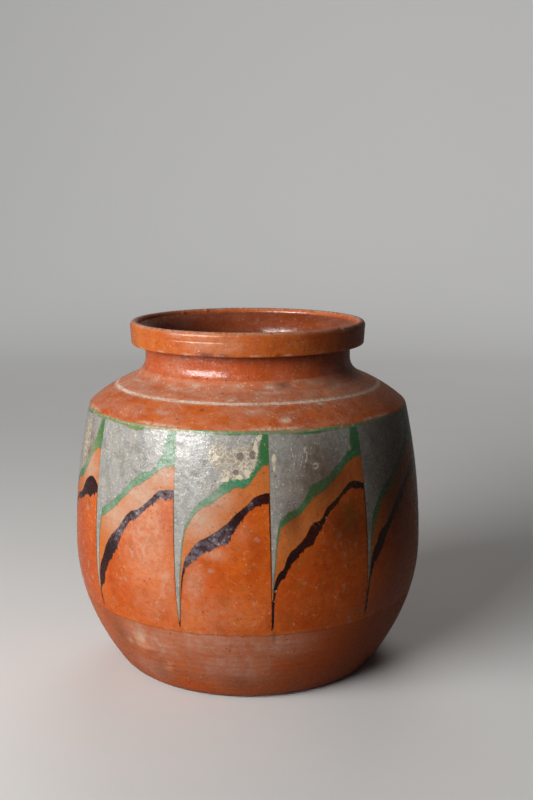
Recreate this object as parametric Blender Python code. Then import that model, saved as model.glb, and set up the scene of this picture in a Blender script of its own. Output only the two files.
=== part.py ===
"""A wide-mouthed terracotta pot with a combed slip coat, as its separate clay sections and coats.

Units are metres and +Z is up. The origin is the middle of the standing face, and -Y is the front.
The clay sections are turned rings that lap over each other. The coats are thin rings of coloured
slip that lie side by side on the belly and follow the same wall.
"""

import math

import bmesh
import bpy
import numpy as np

# Outer shape of the clay: each height is a rise above the one before, from the standing face up
BELLY_HEIGHT = 0.0625
BELLY_RISE = 0.0701
SHOULDER_RISE = 0.0129
NECK_RISE = 0.0095
NECK_STEM = 0.0066
RIM_DEPTH = 0.0115
FOOT_ROUND = 0.0046
SHOULDER_HEIGHT = BELLY_HEIGHT + BELLY_RISE
NECK_FOOT_HEIGHT = SHOULDER_HEIGHT + SHOULDER_RISE
NECK_HEIGHT = NECK_FOOT_HEIGHT + NECK_RISE
RIM_UNDERSIDE = NECK_HEIGHT + NECK_STEM
HEIGHT = RIM_UNDERSIDE + RIM_DEPTH

# Outer shape of the clay: each radius is a step out from the one before, from the neck out
NECK_RADIUS = 0.0514
NECK_SPREAD = 0.0071
SHOULDER_WIDTH = 0.0211
SHOULDER_BULGE = 0.0010
BELLY_SWELL = 0.0081
FOOT_TUCK = 0.0234
RIM_OVERHANG = 0.0068
RIM_FLARE = 0.0006
RIM_EDGE = 0.0008
LIP = 0.0042
NECK_FOOT_SLOPE = math.radians(25.0)
NECK_FOOT_RADIUS = NECK_RADIUS + NECK_SPREAD
SHOULDER_RADIUS = NECK_FOOT_RADIUS + SHOULDER_WIDTH
BELLY_RADIUS = SHOULDER_RADIUS + BELLY_SWELL
BASE_RADIUS = BELLY_RADIUS - FOOT_TUCK
RIM_LOWER_RADIUS = NECK_RADIUS + RIM_OVERHANG
RIM_RADIUS = RIM_LOWER_RADIUS + RIM_FLARE

# Thickness of the clay and the stepped lap joints
WALL = 0.0058
FLOOR = 0.0080
FOOT_LAND = 0.0035
FLOOR_LEDGE = 0.0030
LAP = 0.0040
LUTING_GAP = 0.0003
NECK_JOINT_SHARE = 0.55

# Coats of slip
SLIP_BOTTOM = 0.0415
SLIP_THICKNESS = 0.0006
SLIP_BED = 0.0006
SEAM = 0.0003
CREAM_LINE_SHARE = 0.62
CREAM_LINE_WIDTH = 0.0018
CREAM_LINE_DEPTH = 0.0006

# Combing: the drag lines seen from the front, in degrees to the right of it, and their lean
PANELS = 11
SEEN_DRAGS = (-55.7, -22.2, 7.5, 39.4)
DRAG_LEAN = 0.0020
FLANK_WIDTH = 0.0058
TIP_RISE = 0.05
SLOPE_POWER = 0.85
COLUMN_START = 0.86
COLUMN_END = 0.94
LINE_SHARE = 0.985

# Edges between the coats from the top down. Heights are shares of the coat's height at the tip of a
# drag line, at the foot of the slope and at its peak. Reach is the distance from the drag line, and
# run is how far the steep side leans.
EDGES = (
    {"tip": LINE_SHARE, "foot": LINE_SHARE, "peak": LINE_SHARE, "reach": 0.0002, "run": 0.0009},
    {"tip": 0.225, "foot": 0.566, "peak": 0.874, "reach": 0.0007, "run": 0.0003, "column": 0.966},
    {"tip": 0.170, "foot": 0.522, "peak": 0.841, "reach": 0.0015, "run": 0.0003},
    {"tip": 0.115, "foot": 0.346, "peak": 0.709, "reach": 0.0023, "run": 0.0003},
    {"tip": 0.060, "foot": 0.270, "peak": 0.665, "reach": 0.0031, "run": 0.0003},
    {"tip": 0.0, "foot": 0.0, "peak": 0.0, "reach": 0.0038, "run": 0.0036},
)

# Fineness of the faceted solids
SEGMENTS = 40
WALL_STEPS = 5
ARC_STEPS = 3
FLANK_STEPS = 2
SLOPE_STEPS = 3
DROP_STEPS = 3
BROAD_STEPS = 4
NARROW_STEPS = 1
SHARP_ANGLE = math.radians(35.0)
MITRE_LIMIT = 0.25
MERGE = 1e-6

# Colours as red, green and blue, with a roughness
FINISHES = {
    "floor_disc": ((0.36, 0.14, 0.07), 0.80),
    "lower_wall": ((0.37, 0.15, 0.08), 0.75),
    "belly_wall": ((0.30, 0.07, 0.02), 0.35),
    "shoulder_ring": ((0.42, 0.11, 0.04), 0.35),
    "neck_collar": ((0.42, 0.11, 0.04), 0.32),
    "rim_band": ((0.40, 0.10, 0.035), 0.32),
    "orange_ground_slip": ((0.50, 0.12, 0.03), 0.35),
    "brown_slip_trail": ((0.04, 0.018, 0.02), 0.40),
    "ochre_slip_band": ((0.50, 0.22, 0.09), 0.35),
    "green_slip_trail": ((0.05, 0.22, 0.10), 0.35),
    "grey_slip_band": ((0.40, 0.38, 0.35), 0.38),
    "green_shoulder_line": ((0.06, 0.20, 0.09), 0.35),
    "cream_shoulder_line": ((0.60, 0.42, 0.28), 0.60),
}


def clear_scene():
    """Remove every object that the file starts with."""
    for old in list(bpy.data.objects):
        bpy.data.objects.remove(old)


def finish(name):
    """The material of one named piece."""
    colour, roughness = FINISHES[name]
    material = bpy.data.materials.new(name + "_finish")
    material.use_nodes = True
    shader = material.node_tree.nodes["Principled BSDF"]
    shader.inputs["Base Color"].default_value = (*colour, 1.0)
    shader.inputs["Roughness"].default_value = roughness
    shader.inputs["Metallic"].default_value = 0.0
    return material


def add_piece(name, mesh):
    """Put a mesh into the scene as a named piece with smooth round faces and its own material."""
    mesh.shade_smooth()
    mesh.set_sharp_from_angle(angle=SHARP_ANGLE)
    mesh.materials.append(finish(name))
    piece = bpy.data.objects.new(name, mesh)
    bpy.context.collection.objects.link(piece)
    return piece


def turned(name, section):
    """A solid of revolution from the points of its cross section, as (radius, height)."""
    on_axis = section[0][0] == 0.0 and section[-1][0] == 0.0
    shape = bmesh.new()
    points = [shape.verts.new((radius, 0.0, height)) for radius, height in section]
    pairs = list(zip(points, points[1:]))
    if not on_axis:
        pairs.append((points[-1], points[0]))
    outline = [shape.edges.new(pair) for pair in pairs]
    bmesh.ops.spin(
        shape,
        geom=points + outline,
        cent=(0.0, 0.0, 0.0),
        axis=(0.0, 0.0, 1.0),
        angle=2.0 * math.pi,
        steps=SEGMENTS,
        use_merge=True,
    )
    bmesh.ops.remove_doubles(shape, verts=shape.verts[:], dist=MERGE)
    bmesh.ops.recalc_face_normals(shape, faces=shape.faces[:])
    mesh = bpy.data.meshes.new(name)
    shape.to_mesh(mesh)
    shape.free()
    return add_piece(name, mesh)


def wall_radius(height):
    """Outer radius between the foot and the shoulder edge: one parabola below the belly, one above."""
    height = np.asarray(height, dtype=float)
    below = np.clip(1.0 - height / BELLY_HEIGHT, 0.0, None)
    above = np.clip((height - BELLY_HEIGHT) / (SHOULDER_HEIGHT - BELLY_HEIGHT), 0.0, None)
    return (
        BELLY_RADIUS
        - (BELLY_RADIUS - BASE_RADIUS) * below**2
        - (BELLY_RADIUS - SHOULDER_RADIUS) * above**2
    )


def wall_line(bottom, top, steps):
    """Points of the outer wall between two heights, from the bottom up."""
    heights = np.linspace(bottom, top, steps + 1)
    return np.column_stack((wall_radius(heights), heights))


def inward(line, depth):
    """The same line moved square to itself into the clay, for a line that runs upwards."""
    slope = np.gradient(line, axis=0)
    normal = np.column_stack((-slope[:, 1], slope[:, 0]))
    normal /= np.linalg.norm(normal, axis=1)[:, None]
    return line + depth * normal


def shoulder_line(share):
    """Points of the bulging shoulder, from its sharp edge (share 0) to the foot of the neck (share 1)."""
    share = np.asarray(share, dtype=float)[:, None]
    edge = np.array((SHOULDER_RADIUS, SHOULDER_HEIGHT))
    foot = np.array((NECK_FOOT_RADIUS, NECK_FOOT_HEIGHT))
    along = foot - edge
    out = np.array((along[1], -along[0])) / np.linalg.norm(along)
    return edge + share * along + 4.0 * share * (1.0 - share) * SHOULDER_BULGE * out


def neck_line(share):
    """Points of the hollow curve from the foot of the neck up to its narrowest place."""
    foot = (NECK_FOOT_RADIUS, NECK_FOOT_HEIGHT)
    rise = (NECK_FOOT_RADIUS - NECK_RADIUS) * math.tan(NECK_FOOT_SLOPE)
    corner = (NECK_RADIUS, NECK_FOOT_HEIGHT + rise)
    return bend(foot, corner, (NECK_RADIUS, NECK_HEIGHT), share)


def bend(start, corner, end, share):
    """Points of a curve that leaves its start towards a corner and reaches its end from there."""
    share = np.asarray(share, dtype=float)[:, None]
    start, corner, end = np.array(start), np.array(corner), np.array(end)
    return (1 - share) ** 2 * start + 2 * share * (1 - share) * corner + share**2 * end


def wall_bore(height):
    """Inner radius of the wall between the foot and the shoulder edge."""
    return float(wall_radius(height)) - WALL


def lap_below(joint, bore):
    """Top of a lower section: its outer half ends at the joint, its inner half a lap lower."""
    middle = bore + 0.5 * WALL
    return [
        (middle + 0.5 * LUTING_GAP, joint - 0.5 * LUTING_GAP),
        (middle + 0.5 * LUTING_GAP, joint - LAP - 0.5 * LUTING_GAP),
        (bore, joint - LAP - 0.5 * LUTING_GAP),
    ]


def lap_above(joint, bore):
    """Bottom of an upper section: a tongue on its inner half fills the step of the one below."""
    middle = bore + 0.5 * WALL
    return [
        (bore, joint - LAP + 0.5 * LUTING_GAP),
        (middle - 0.5 * LUTING_GAP, joint - LAP + 0.5 * LUTING_GAP),
        (middle - 0.5 * LUTING_GAP, joint + 0.5 * LUTING_GAP),
    ]


def make_floor_disc():
    """The flat bottom, with a step that rests on a ledge of the lower wall."""
    lower = BASE_RADIUS - FOOT_ROUND - FOOT_LAND - LUTING_GAP
    upper = lower + FLOOR_LEDGE
    ledge = 0.5 * FLOOR
    section = [(0.0, FLOOR), (upper, FLOOR), (upper, ledge), (lower, ledge), (lower, 0.0), (0.0, 0.0)]
    turned("floor_disc", section)


def make_lower_wall():
    """The bare wall from the rounded foot to the lower edge of the slip."""
    seat = BASE_RADIUS - FOOT_ROUND - FOOT_LAND
    ledge = 0.5 * FLOOR - LUTING_GAP
    outer = wall_line(FOOT_ROUND, SLIP_BOTTOM - 0.5 * LUTING_GAP, WALL_STEPS)
    start = (BASE_RADIUS - FOOT_ROUND, 0.0)
    corner = (BASE_RADIUS, 0.0)
    foot = bend(start, corner, outer[0], np.linspace(0.0, 1.0, ARC_STEPS + 1))
    bore = wall_bore(SLIP_BOTTOM)
    inner_top = SLIP_BOTTOM - LAP - 0.5 * LUTING_GAP
    inner = inward(wall_line(FLOOR + WALL, inner_top + 0.5 * WALL, WALL_STEPS), WALL)
    inner = inner[inner[:, 1] < inner_top - 0.5 * LAP]
    section = [(seat, 0.0), *foot, *outer[1:], *lap_below(SLIP_BOTTOM, bore), *inner[::-1]]
    section += [(seat + FLOOR_LEDGE, FLOOR), (seat + FLOOR_LEDGE, ledge), (seat, ledge)]
    turned("lower_wall", section)


def make_belly_wall():
    """The main wall, set back by the coat of slip that covers it."""
    bottom = SLIP_BOTTOM + 0.5 * LUTING_GAP
    top = SHOULDER_HEIGHT - 0.5 * LUTING_GAP
    outer = wall_line(bottom, top, 2 * WALL_STEPS - 2) - (SLIP_THICKNESS + SLIP_BED, 0.0)
    inner = wall_line(SLIP_BOTTOM, SHOULDER_HEIGHT - 2.0 * LAP, WALL_STEPS) - (WALL, 0.0)
    lower_lap = lap_above(SLIP_BOTTOM, wall_bore(SLIP_BOTTOM))
    upper_lap = lap_below(SHOULDER_HEIGHT, wall_bore(SHOULDER_HEIGHT))
    turned("belly_wall", [*lower_lap, *outer, *upper_lap, *inner[::-1]])


def cream_shares(width):
    """The two ends of the cream line's bed along the shoulder, for a line of the given width."""
    edge = np.array((SHOULDER_RADIUS, SHOULDER_HEIGHT))
    foot = np.array((NECK_FOOT_RADIUS, NECK_FOOT_HEIGHT))
    half = 0.5 * width / float(np.linalg.norm(foot - edge))
    return np.array((CREAM_LINE_SHARE - half, CREAM_LINE_SHARE + half))


def neck_joint():
    """Height and bore of the joint between the shoulder and the neck."""
    radius, height = neck_line((NECK_JOINT_SHARE,))[0]
    return height, radius - WALL


def make_shoulder_ring():
    """The sloping shoulder, with a bed for the cream line and a flange inside the belly wall."""
    joint, bore = neck_joint()
    bed_start, bed_end = cream_shares(CREAM_LINE_WIDTH)
    below = shoulder_line(np.linspace(0.0, bed_start, ARC_STEPS + 1))
    bed_floor = inward(shoulder_line((bed_start, bed_end)), CREAM_LINE_DEPTH + LUTING_GAP)
    above = shoulder_line(np.linspace(bed_end, 1.0, ARC_STEPS))
    neck = neck_line(np.linspace(0.0, NECK_JOINT_SHARE, ARC_STEPS + 1))
    neck = neck[neck[:, 1] < joint - LUTING_GAP]
    foot_corner = (SHOULDER_RADIUS, SHOULDER_HEIGHT + 0.5 * LUTING_GAP)
    outer_line = np.vstack((shoulder_line(np.linspace(0.0, 1.0, 2 * ARC_STEPS)), neck[1:]))
    inner = inward(outer_line, WALL)
    clear = inner[:, 0] < wall_bore(SHOULDER_HEIGHT) - LUTING_GAP
    inner = inner[clear & (inner[:, 1] < joint - LAP - LUTING_GAP) & (inner[:, 0] > bore)]
    outer = [foot_corner, *below[1:], *bed_floor, *above, *neck[1:]]
    collar = [(bore + WALL, joint - 0.5 * LUTING_GAP), *lap_below(joint, bore)]
    flange = lap_above(SHOULDER_HEIGHT, wall_bore(SHOULDER_HEIGHT))
    turned("shoulder_ring", [*flange, *outer, *collar, *inner[::-1]])


def make_neck_collar():
    """The short hollow neck between the shoulder and the rim."""
    joint, bore = neck_joint()
    outer = neck_line(np.linspace(NECK_JOINT_SHARE, 1.0, ARC_STEPS + 1))
    top = RIM_UNDERSIDE - 0.5 * LUTING_GAP
    throat = NECK_RADIUS - WALL
    start = (bore + WALL, joint + 0.5 * LUTING_GAP)
    section = [*lap_above(joint, bore), start, *outer[1:], (NECK_RADIUS, top)]
    section += [*lap_below(RIM_UNDERSIDE, throat), (throat, NECK_HEIGHT)]
    turned("neck_collar", section)


def make_rim_band():
    """The heavy strap rim: a plain band outside, a rounded lip and a mouth that narrows to the neck."""
    throat = NECK_RADIUS - WALL
    lip_round = 0.5 * LIP
    lip_centre = RIM_RADIUS - lip_round
    turn = np.linspace(0.0, math.pi, 2 * ARC_STEPS + 1)
    lip = np.column_stack(
        (lip_centre + lip_round * np.cos(turn), HEIGHT - lip_round + lip_round * np.sin(turn))
    )
    start = (RIM_RADIUS - LIP, HEIGHT - lip_round)
    corner = (throat, 0.5 * (HEIGHT + RIM_UNDERSIDE))
    end = (throat, RIM_UNDERSIDE - LAP + 0.5 * LUTING_GAP)
    mouth = bend(start, corner, end, np.linspace(0.0, 1.0, WALL_STEPS)[1:-1])
    underside = RIM_UNDERSIDE + 0.5 * LUTING_GAP
    face = [(RIM_LOWER_RADIUS - RIM_EDGE, underside), (RIM_LOWER_RADIUS, underside + RIM_EDGE)]
    turned("rim_band", [*lap_above(RIM_UNDERSIDE, throat), *face, *lip, *mouth])


def make_shoulder_line():
    """The thin green line of slip along the top edge of the coat."""
    height = SHOULDER_HEIGHT - SLIP_BOTTOM
    top = SHOULDER_HEIGHT - 0.5 * SEAM
    bottom = SLIP_BOTTOM + LINE_SHARE * height + 0.5 * SEAM
    outer = wall_line(bottom, top, 1)
    turned("green_shoulder_line", [*outer, *(outer[::-1] - (SLIP_THICKNESS, 0.0))])


def make_cream_line():
    """The cream line of slip in its bed on the shoulder."""
    ends = cream_shares(CREAM_LINE_WIDTH - 2.0 * SEAM)
    outer = shoulder_line(ends)
    inner = inward(outer, CREAM_LINE_DEPTH)
    turned("cream_shoulder_line", [*outer, *inner[::-1]])


def drag_angles():
    """Angles of the drag lines round the pot, in radians: those seen in front, then evenly spaced."""
    seen = np.radians(SEEN_DRAGS)
    hidden = np.linspace(seen[-1], seen[0] + 2.0 * math.pi, PANELS - len(seen) + 2)
    return np.concatenate((seen, hidden[1:]))


def edge_in_panel(edge, left, right):
    """One edge between two coats across one panel, as (arc length, share of the coat's height).

    From the tip of the left drag line it climbs a hollow flank, follows the slope to the peak, and
    falls steeply beside the right drag line.
    """
    tip_shoulder = edge["tip"] + TIP_RISE * (edge["foot"] != edge["tip"])
    flank = np.linspace(0.0, 1.0, FLANK_STEPS + 1)
    flank_arc = left + edge["reach"] + (FLANK_WIDTH - edge["reach"]) * flank**2
    flank_share = tip_shoulder + (edge["foot"] - tip_shoulder) * flank
    corner = right - edge["reach"] - edge["run"]
    slope = np.linspace(0.0, 1.0, SLOPE_STEPS + 1)[1:-1] * COLUMN_START
    slope = np.concatenate((slope, (COLUMN_START, COLUMN_END)))
    slope_arc = left + FLANK_WIDTH + (corner - left - FLANK_WIDTH) * slope
    slope_share = edge["foot"] + (edge["peak"] - edge["foot"]) * slope**SLOPE_POWER
    top = edge.get("column", edge["peak"])
    slope_share[-1] = top
    drop = np.linspace(0.0, 1.0, DROP_STEPS + 1)
    drop_arc = corner + edge["run"] * drop
    drop_share = top + (tip_shoulder - top) * drop
    arc = np.concatenate(((left,), flank_arc, slope_arc, drop_arc))
    share = np.concatenate(((edge["tip"],), flank_share, slope_share, drop_share))
    return np.column_stack((arc, share))


def coat_edge(edge):
    """One edge all the way round, as (arc length, height), with the drag lines' lean."""
    arcs = drag_angles() * BELLY_RADIUS
    line = np.vstack([edge_in_panel(edge, left, right) for left, right in zip(arcs, arcs[1:])])
    lean = DRAG_LEAN * (1.0 - line[:, 1])
    height = SLIP_BOTTOM + line[:, 1] * (SHOULDER_HEIGHT - SLIP_BOTTOM)
    return np.column_stack((line[:, 0] + lean, height))


def shifted(line, distance):
    """A closed edge moved square to itself, up for a positive distance, with mitred corners."""
    turn = np.array((2.0 * math.pi * BELLY_RADIUS, 0.0))
    ahead = np.vstack((line[1:], line[:1] + turn)) - line
    ahead /= np.linalg.norm(ahead, axis=1)[:, None]
    behind = np.roll(ahead, 1, axis=0)
    normal = np.column_stack((-(ahead + behind)[:, 1], (ahead + behind)[:, 0]))
    normal /= np.linalg.norm(normal, axis=1)[:, None]
    cosine = np.sum(normal * np.column_stack((-ahead[:, 1], ahead[:, 0])), axis=1)
    return line + normal * (distance / np.clip(cosine, MITRE_LIMIT, None))[:, None]


def make_coat(name, upper, steps):
    """A thin ring of slip from its upper edge to the next one, with its face on the wall's radius."""
    top = shifted(coat_edge(EDGES[upper]), -0.5 * SEAM)
    bottom = shifted(coat_edge(EDGES[upper + 1]), 0.5 * SEAM)
    rows = steps + 1
    share = np.linspace(0.0, 1.0, rows)[:, None, None]
    face = bottom + share * (top - bottom)
    angle = face[:, :, 0] / BELLY_RADIUS
    outer = wall_radius(face[:, :, 1])
    layers = [
        np.stack((radius * np.sin(angle), -radius * np.cos(angle), face[:, :, 1]), axis=-1)
        for radius in (outer, outer - SLIP_THICKNESS)
    ]
    columns = face.shape[1]
    index = np.arange(2 * rows * columns).reshape(2, rows, columns)
    ring = np.concatenate((index[0], index[1, ::-1], index[0, :1]))
    following = np.roll(ring, -1, axis=1)
    quads = np.stack((ring[:-1], following[:-1], following[1:], ring[1:]), axis=-1).reshape(-1, 4)
    mesh = bpy.data.meshes.new(name)
    mesh.from_pydata(np.concatenate(layers).reshape(-1, 3), [], quads)
    add_piece(name, mesh)


def main():
    clear_scene()
    make_floor_disc()
    make_lower_wall()
    make_belly_wall()
    make_shoulder_ring()
    make_neck_collar()
    make_rim_band()
    make_cream_line()
    make_shoulder_line()
    make_coat("grey_slip_band", 0, BROAD_STEPS)
    make_coat("green_slip_trail", 1, NARROW_STEPS)
    make_coat("ochre_slip_band", 2, NARROW_STEPS)
    make_coat("brown_slip_trail", 3, NARROW_STEPS)
    make_coat("orange_ground_slip", 4, BROAD_STEPS)


main()
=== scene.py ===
# %% [markdown]
# A wide-mouthed terracotta pot with a combed slip coat
#
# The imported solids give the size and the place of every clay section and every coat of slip.
# This lesson dresses them: it rebuilds each piece as a fine surface worked out with numpy, paints
# it with procedural materials and sets it under soft studio light.

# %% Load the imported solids
import math

import bpy
import numpy as np
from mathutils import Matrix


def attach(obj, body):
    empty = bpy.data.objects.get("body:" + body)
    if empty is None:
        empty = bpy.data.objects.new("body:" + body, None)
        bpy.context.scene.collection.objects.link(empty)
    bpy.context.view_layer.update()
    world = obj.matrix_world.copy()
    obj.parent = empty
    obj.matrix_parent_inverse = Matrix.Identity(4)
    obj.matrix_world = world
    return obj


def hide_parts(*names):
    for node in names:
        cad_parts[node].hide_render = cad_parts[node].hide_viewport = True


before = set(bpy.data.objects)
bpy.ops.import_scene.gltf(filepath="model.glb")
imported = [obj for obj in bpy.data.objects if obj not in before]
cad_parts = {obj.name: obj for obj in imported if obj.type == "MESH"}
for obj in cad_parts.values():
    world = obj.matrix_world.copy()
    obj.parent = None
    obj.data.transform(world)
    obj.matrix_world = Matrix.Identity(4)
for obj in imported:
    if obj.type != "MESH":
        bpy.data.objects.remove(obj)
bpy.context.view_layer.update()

print("nodes in the frame:", len(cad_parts))

# %% [markdown]
# The camera
#
# The photograph was taken from a little above the rim, about half a metre away. A camera can be
# placed by eye, but here it comes from the outline of the pot: the widths and the heights of its
# turned edges fix the distance, the height and the tilt. The lens stays at 50 mm on a 36 mm frame.

# %% Place the camera
CAMERA_PLACE = (0.00947, -0.5555, 0.2339)
CAMERA_TILT = math.radians(10.42)
LENS, FRAME_WIDTH = 50.0, 36.0

scene = bpy.context.scene
scene.view_settings.view_transform = "Standard"
camera_data = bpy.data.cameras.new("front_camera")
camera_data.lens = LENS
camera_data.sensor_width = FRAME_WIDTH
camera = bpy.data.objects.new("front_camera", camera_data)
camera.location = CAMERA_PLACE
camera.rotation_euler = (0.5 * math.pi - CAMERA_TILT, 0.0, 0.0)
scene.collection.objects.link(camera)
scene.camera = camera
print("camera distance from the axis:", round(-CAMERA_PLACE[1], 3), "m")

# %% [markdown]
# The studio
#
# The pot stands on a pale sheet that bends up behind it, as in a photographer's sweep. One could
# use a plane and a wall, but the bend leaves no line behind the pot. The sheet is a profile of a
# flat run, a quarter circle and a wall, carried sideways.

# %% Make the sweep
SWEEP_HALF_WIDTH = 2.6
SWEEP_FRONT, SWEEP_BACK = -2.4, 1.5
SWEEP_BEND = 0.5
SWEEP_TOP = 2.2


def sweep_mesh(name, count=24):
    """A flat run, a quarter circle and a wall as (depth, height), carried from left to right."""
    turn = np.linspace(0.0, 0.5 * math.pi, count)
    depth = SWEEP_BACK - SWEEP_BEND + SWEEP_BEND * np.sin(turn)
    height = SWEEP_BEND - SWEEP_BEND * np.cos(turn)
    curve = np.column_stack((depth, height))
    profile = np.vstack(((SWEEP_FRONT, 0.0), curve, (SWEEP_BACK, SWEEP_TOP)))
    points = np.empty((2, len(profile), 3))
    points[..., 0] = np.array((-SWEEP_HALF_WIDTH, SWEEP_HALF_WIDTH))[:, None]
    points[..., 1:] = profile
    left, right = np.arange(2 * len(profile)).reshape(2, -1)
    quads = np.stack((left[:-1], right[:-1], right[1:], left[1:]), axis=-1)
    mesh = bpy.data.meshes.new(name)
    mesh.from_pydata(points.reshape(-1, 3), [], quads)
    mesh.shade_smooth()
    return mesh


sweep = bpy.data.objects.new("studio_sweep", sweep_mesh("studio_sweep"))
scene.collection.objects.link(sweep)
print("sweep faces:", len(sweep.data.polygons))

# %% [markdown]
# Small helpers for shader nodes
#
# A material is a graph. Wiring it by hand takes three lines for every node. Here an output of a node
# is wrapped as a signal, which can be added and multiplied like a plain number, so a mask is written
# as a short sum and each sign in the sum becomes a Math node.


# %% Signals
class Signal:
    """A number, a mask or a colour in a node graph, given by an output of a node."""

    def __init__(self, socket):
        self.socket = socket

    @property
    def tree(self):
        """The graph that the signal belongs to."""
        return self.socket.id_data

    def sibling(self, key):
        """Another output of the same node."""
        return Signal(self.socket.node.outputs[key])

    def __add__(self, other):
        return calc("ADD", self, other)

    def __sub__(self, other):
        return calc("SUBTRACT", self, other)

    def __rsub__(self, other):
        return calc("SUBTRACT", other, self)

    def __mul__(self, other):
        return calc("MULTIPLY", self, other)

    def __truediv__(self, other):
        return calc("DIVIDE", self, other)


# %% Nodes and sums of signals
def wire(value, socket):
    """Link a signal to a socket, or set the socket's own value."""
    if isinstance(value, Signal):
        socket.id_data.links.new(value.socket, socket)
    elif socket.type == "RGBA":
        socket.default_value = (*value, 1.0)
    else:
        socket.default_value = value


def place(tree, kind, pick, sockets=None, **settings):
    """One output of a new node, with its settings made and its inputs wired, by name or by number."""
    node = tree.nodes.new("ShaderNode" + kind)
    for name, value in settings.items():
        setattr(node, name, value)
    for key, value in (sockets or {}).items():
        wire(value, node.inputs[key])
    return Signal(node.outputs[pick])


def calc(operation, first, second=0.0, clamp=False):
    """One sum of two values, of which at least one is a signal."""
    tree = (first if isinstance(first, Signal) else second).tree
    return place(tree, "Math", 0, {0: first, 1: second}, operation=operation, use_clamp=clamp)


def vector(operation, first, second):
    """One sum of two vectors, of which the first is a signal."""
    return place(first.tree, "VectorMath", 0, {0: first, 1: second}, operation=operation)


def blend(share, first, second):
    """Two colours mixed by a share from 0 to 1."""
    settings = {"data_type": "RGBA", "clamp_factor": True}
    return place(share.tree, "Mix", 2, {0: share, 6: first, 7: second}, **settings)


def spread(value, low, high, out_low=0.0, out_high=1.0):
    """A value between low and high spread over a new range, smoothly and held at both ends."""
    sockets = {"Value": value, "From Min": low, "From Max": high, "To Min": out_low, "To Max": out_high}
    return place(value.tree, "MapRange", "Result", sockets, interpolation_type="SMOOTHSTEP")


# %% Sources of a signal
def on_surface(tree):
    """Object coordinates, in metres, which are the same for every piece of the pot."""
    return place(tree, "TexCoord", "Object")


def on_chart(tree):
    """The unrolled place on the wall, in millimetres, that every piece keeps on its points."""
    return place(tree, "Attribute", "Vector", attribute_name="unrolled", attribute_type="GEOMETRY")


def painted(tree, name):
    """A mask that is kept on the points of the mesh."""
    return place(tree, "Attribute", "Fac", attribute_name=name, attribute_type="GEOMETRY")


def stretched(tree, stretch):
    """Object coordinates with the height multiplied: over 1 gives level bands, under 1 gives runs."""
    return vector("MULTIPLY", on_surface(tree), place(tree, "CombineXYZ", 0, {0: 1.0, 1: 1.0, 2: stretch}))


def noise(tree, scale, detail=3.0, rough=0.55, at=None):
    """Soft noise around 0.5 with a number of blotches per metre, or per unit of another vector."""
    sockets = {"Vector": at or on_surface(tree), "Scale": scale, "Detail": detail, "Roughness": rough}
    return place(tree, "TexNoise", "Fac", sockets)


def turned_by(at, angle):
    """A vector on the unrolled wall turned by an angle."""
    return place(at.tree, "VectorRotate", 0, {"Vector": at, "Angle": angle}, rotation_type="Z_AXIS")


# %% Groups
def start_group(name, outputs, **inputs):
    """An empty node group: its tree, and its inputs as signals by name."""
    tree = bpy.data.node_groups.new(name, "ShaderNodeTree")
    for label, value in inputs.items():
        kind = "NodeSocketVector" if isinstance(value, tuple) else "NodeSocketFloat"
        tree.interface.new_socket(label, in_out="INPUT", socket_type=kind).default_value = value
    for label in outputs:
        kind = "NodeSocketColor" if label == "Colour" else "NodeSocketFloat"
        tree.interface.new_socket(label, in_out="OUTPUT", socket_type=kind)
    given = tree.nodes.new("NodeGroupInput").outputs
    return tree, {label: Signal(given[label]) for label in inputs}


def end_group(tree, **results):
    """Wire the results of a group and say how large it is."""
    sockets = tree.nodes.new("NodeGroupOutput").inputs
    for label, value in results.items():
        wire(value, sockets[label])
    print(tree.name, "group:", len(tree.nodes), "nodes")


def use_group(tree, name, **sockets):
    """A group placed in a material or in another group: its outputs as signals by name."""
    node = tree.nodes.new("ShaderNodeGroup")
    node.node_tree = bpy.data.node_groups[name]
    for label, value in sockets.items():
        wire(value, node.inputs[label])
    return {socket.name: Signal(socket) for socket in node.outputs}


def layered(colour, *layers):
    """Colours laid over each other: each layer has a mask, a strength and a colour."""
    for mask, strength, top in layers:
        colour = blend(mask * strength, colour, top)
    return colour


print("groups before the first effect:", len(bpy.data.node_groups))

# %% [markdown]
# Shared effects: specks, blotches, ragged edges, scratches and dust
#
# The same few things happen all over an old pot: grains of grit in the slip, clouds in its colour,
# edges that bled before they dried, scratches and a film of dust. Each is one node group, so every
# material can use it at its own scale. They read the place on the pot in metres, which keeps the
# pattern going from one piece to the next.

# %% Specks: some cells of a pattern, with wobbling edges and sizes drawn by lot
tree, given = start_group("specks", ("Mask",), Scale=900.0, Size=0.3, Share=0.1)
wobble = place(tree, "TexNoise", "Color", {"Vector": on_surface(tree), "Scale": 1500.0, "Detail": 1.0})
shift = place(tree, "VectorMath", 0, {0: wobble, 3: 0.0009}, operation="SCALE")
sockets = {"Vector": vector("ADD", on_surface(tree), shift), "Scale": given["Scale"]}
distance = place(tree, "TexVoronoi", "Distance", sockets)
lot = place(tree, "SeparateColor", 0, {0: distance.sibling("Color")})
reach = given["Size"] * (lot.sibling(1) + 0.35)
chosen = calc("LESS_THAN", lot, given["Share"])
end_group(tree, Mask=spread(reach - distance, -0.06, 0.08) * chosen)


def specks(tree, scale, size, share):
    """A mask of specks: cells per metre, size in cells, and the share of cells that have one."""
    return use_group(tree, "specks", Scale=scale, Size=size, Share=share)["Mask"]


# %% Blotches: noise between two limits
tree, given = start_group("blotches", ("Mask",), Scale=60.0, Stretch=1.0, Low=0.38, High=0.62)
clouds = noise(tree, given["Scale"], 5.0, 0.6, stretched(tree, given["Stretch"]))
end_group(tree, Mask=spread(clouds, given["Low"], given["High"]))


def blotches(tree, scale, low=0.36, high=0.66, stretch=1.0):
    """A mask of soft blotches: number per metre, the two limits of the noise, and the stretch."""
    return use_group(tree, "blotches", Scale=scale, Low=low, High=high, Stretch=stretch)["Mask"]


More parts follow.
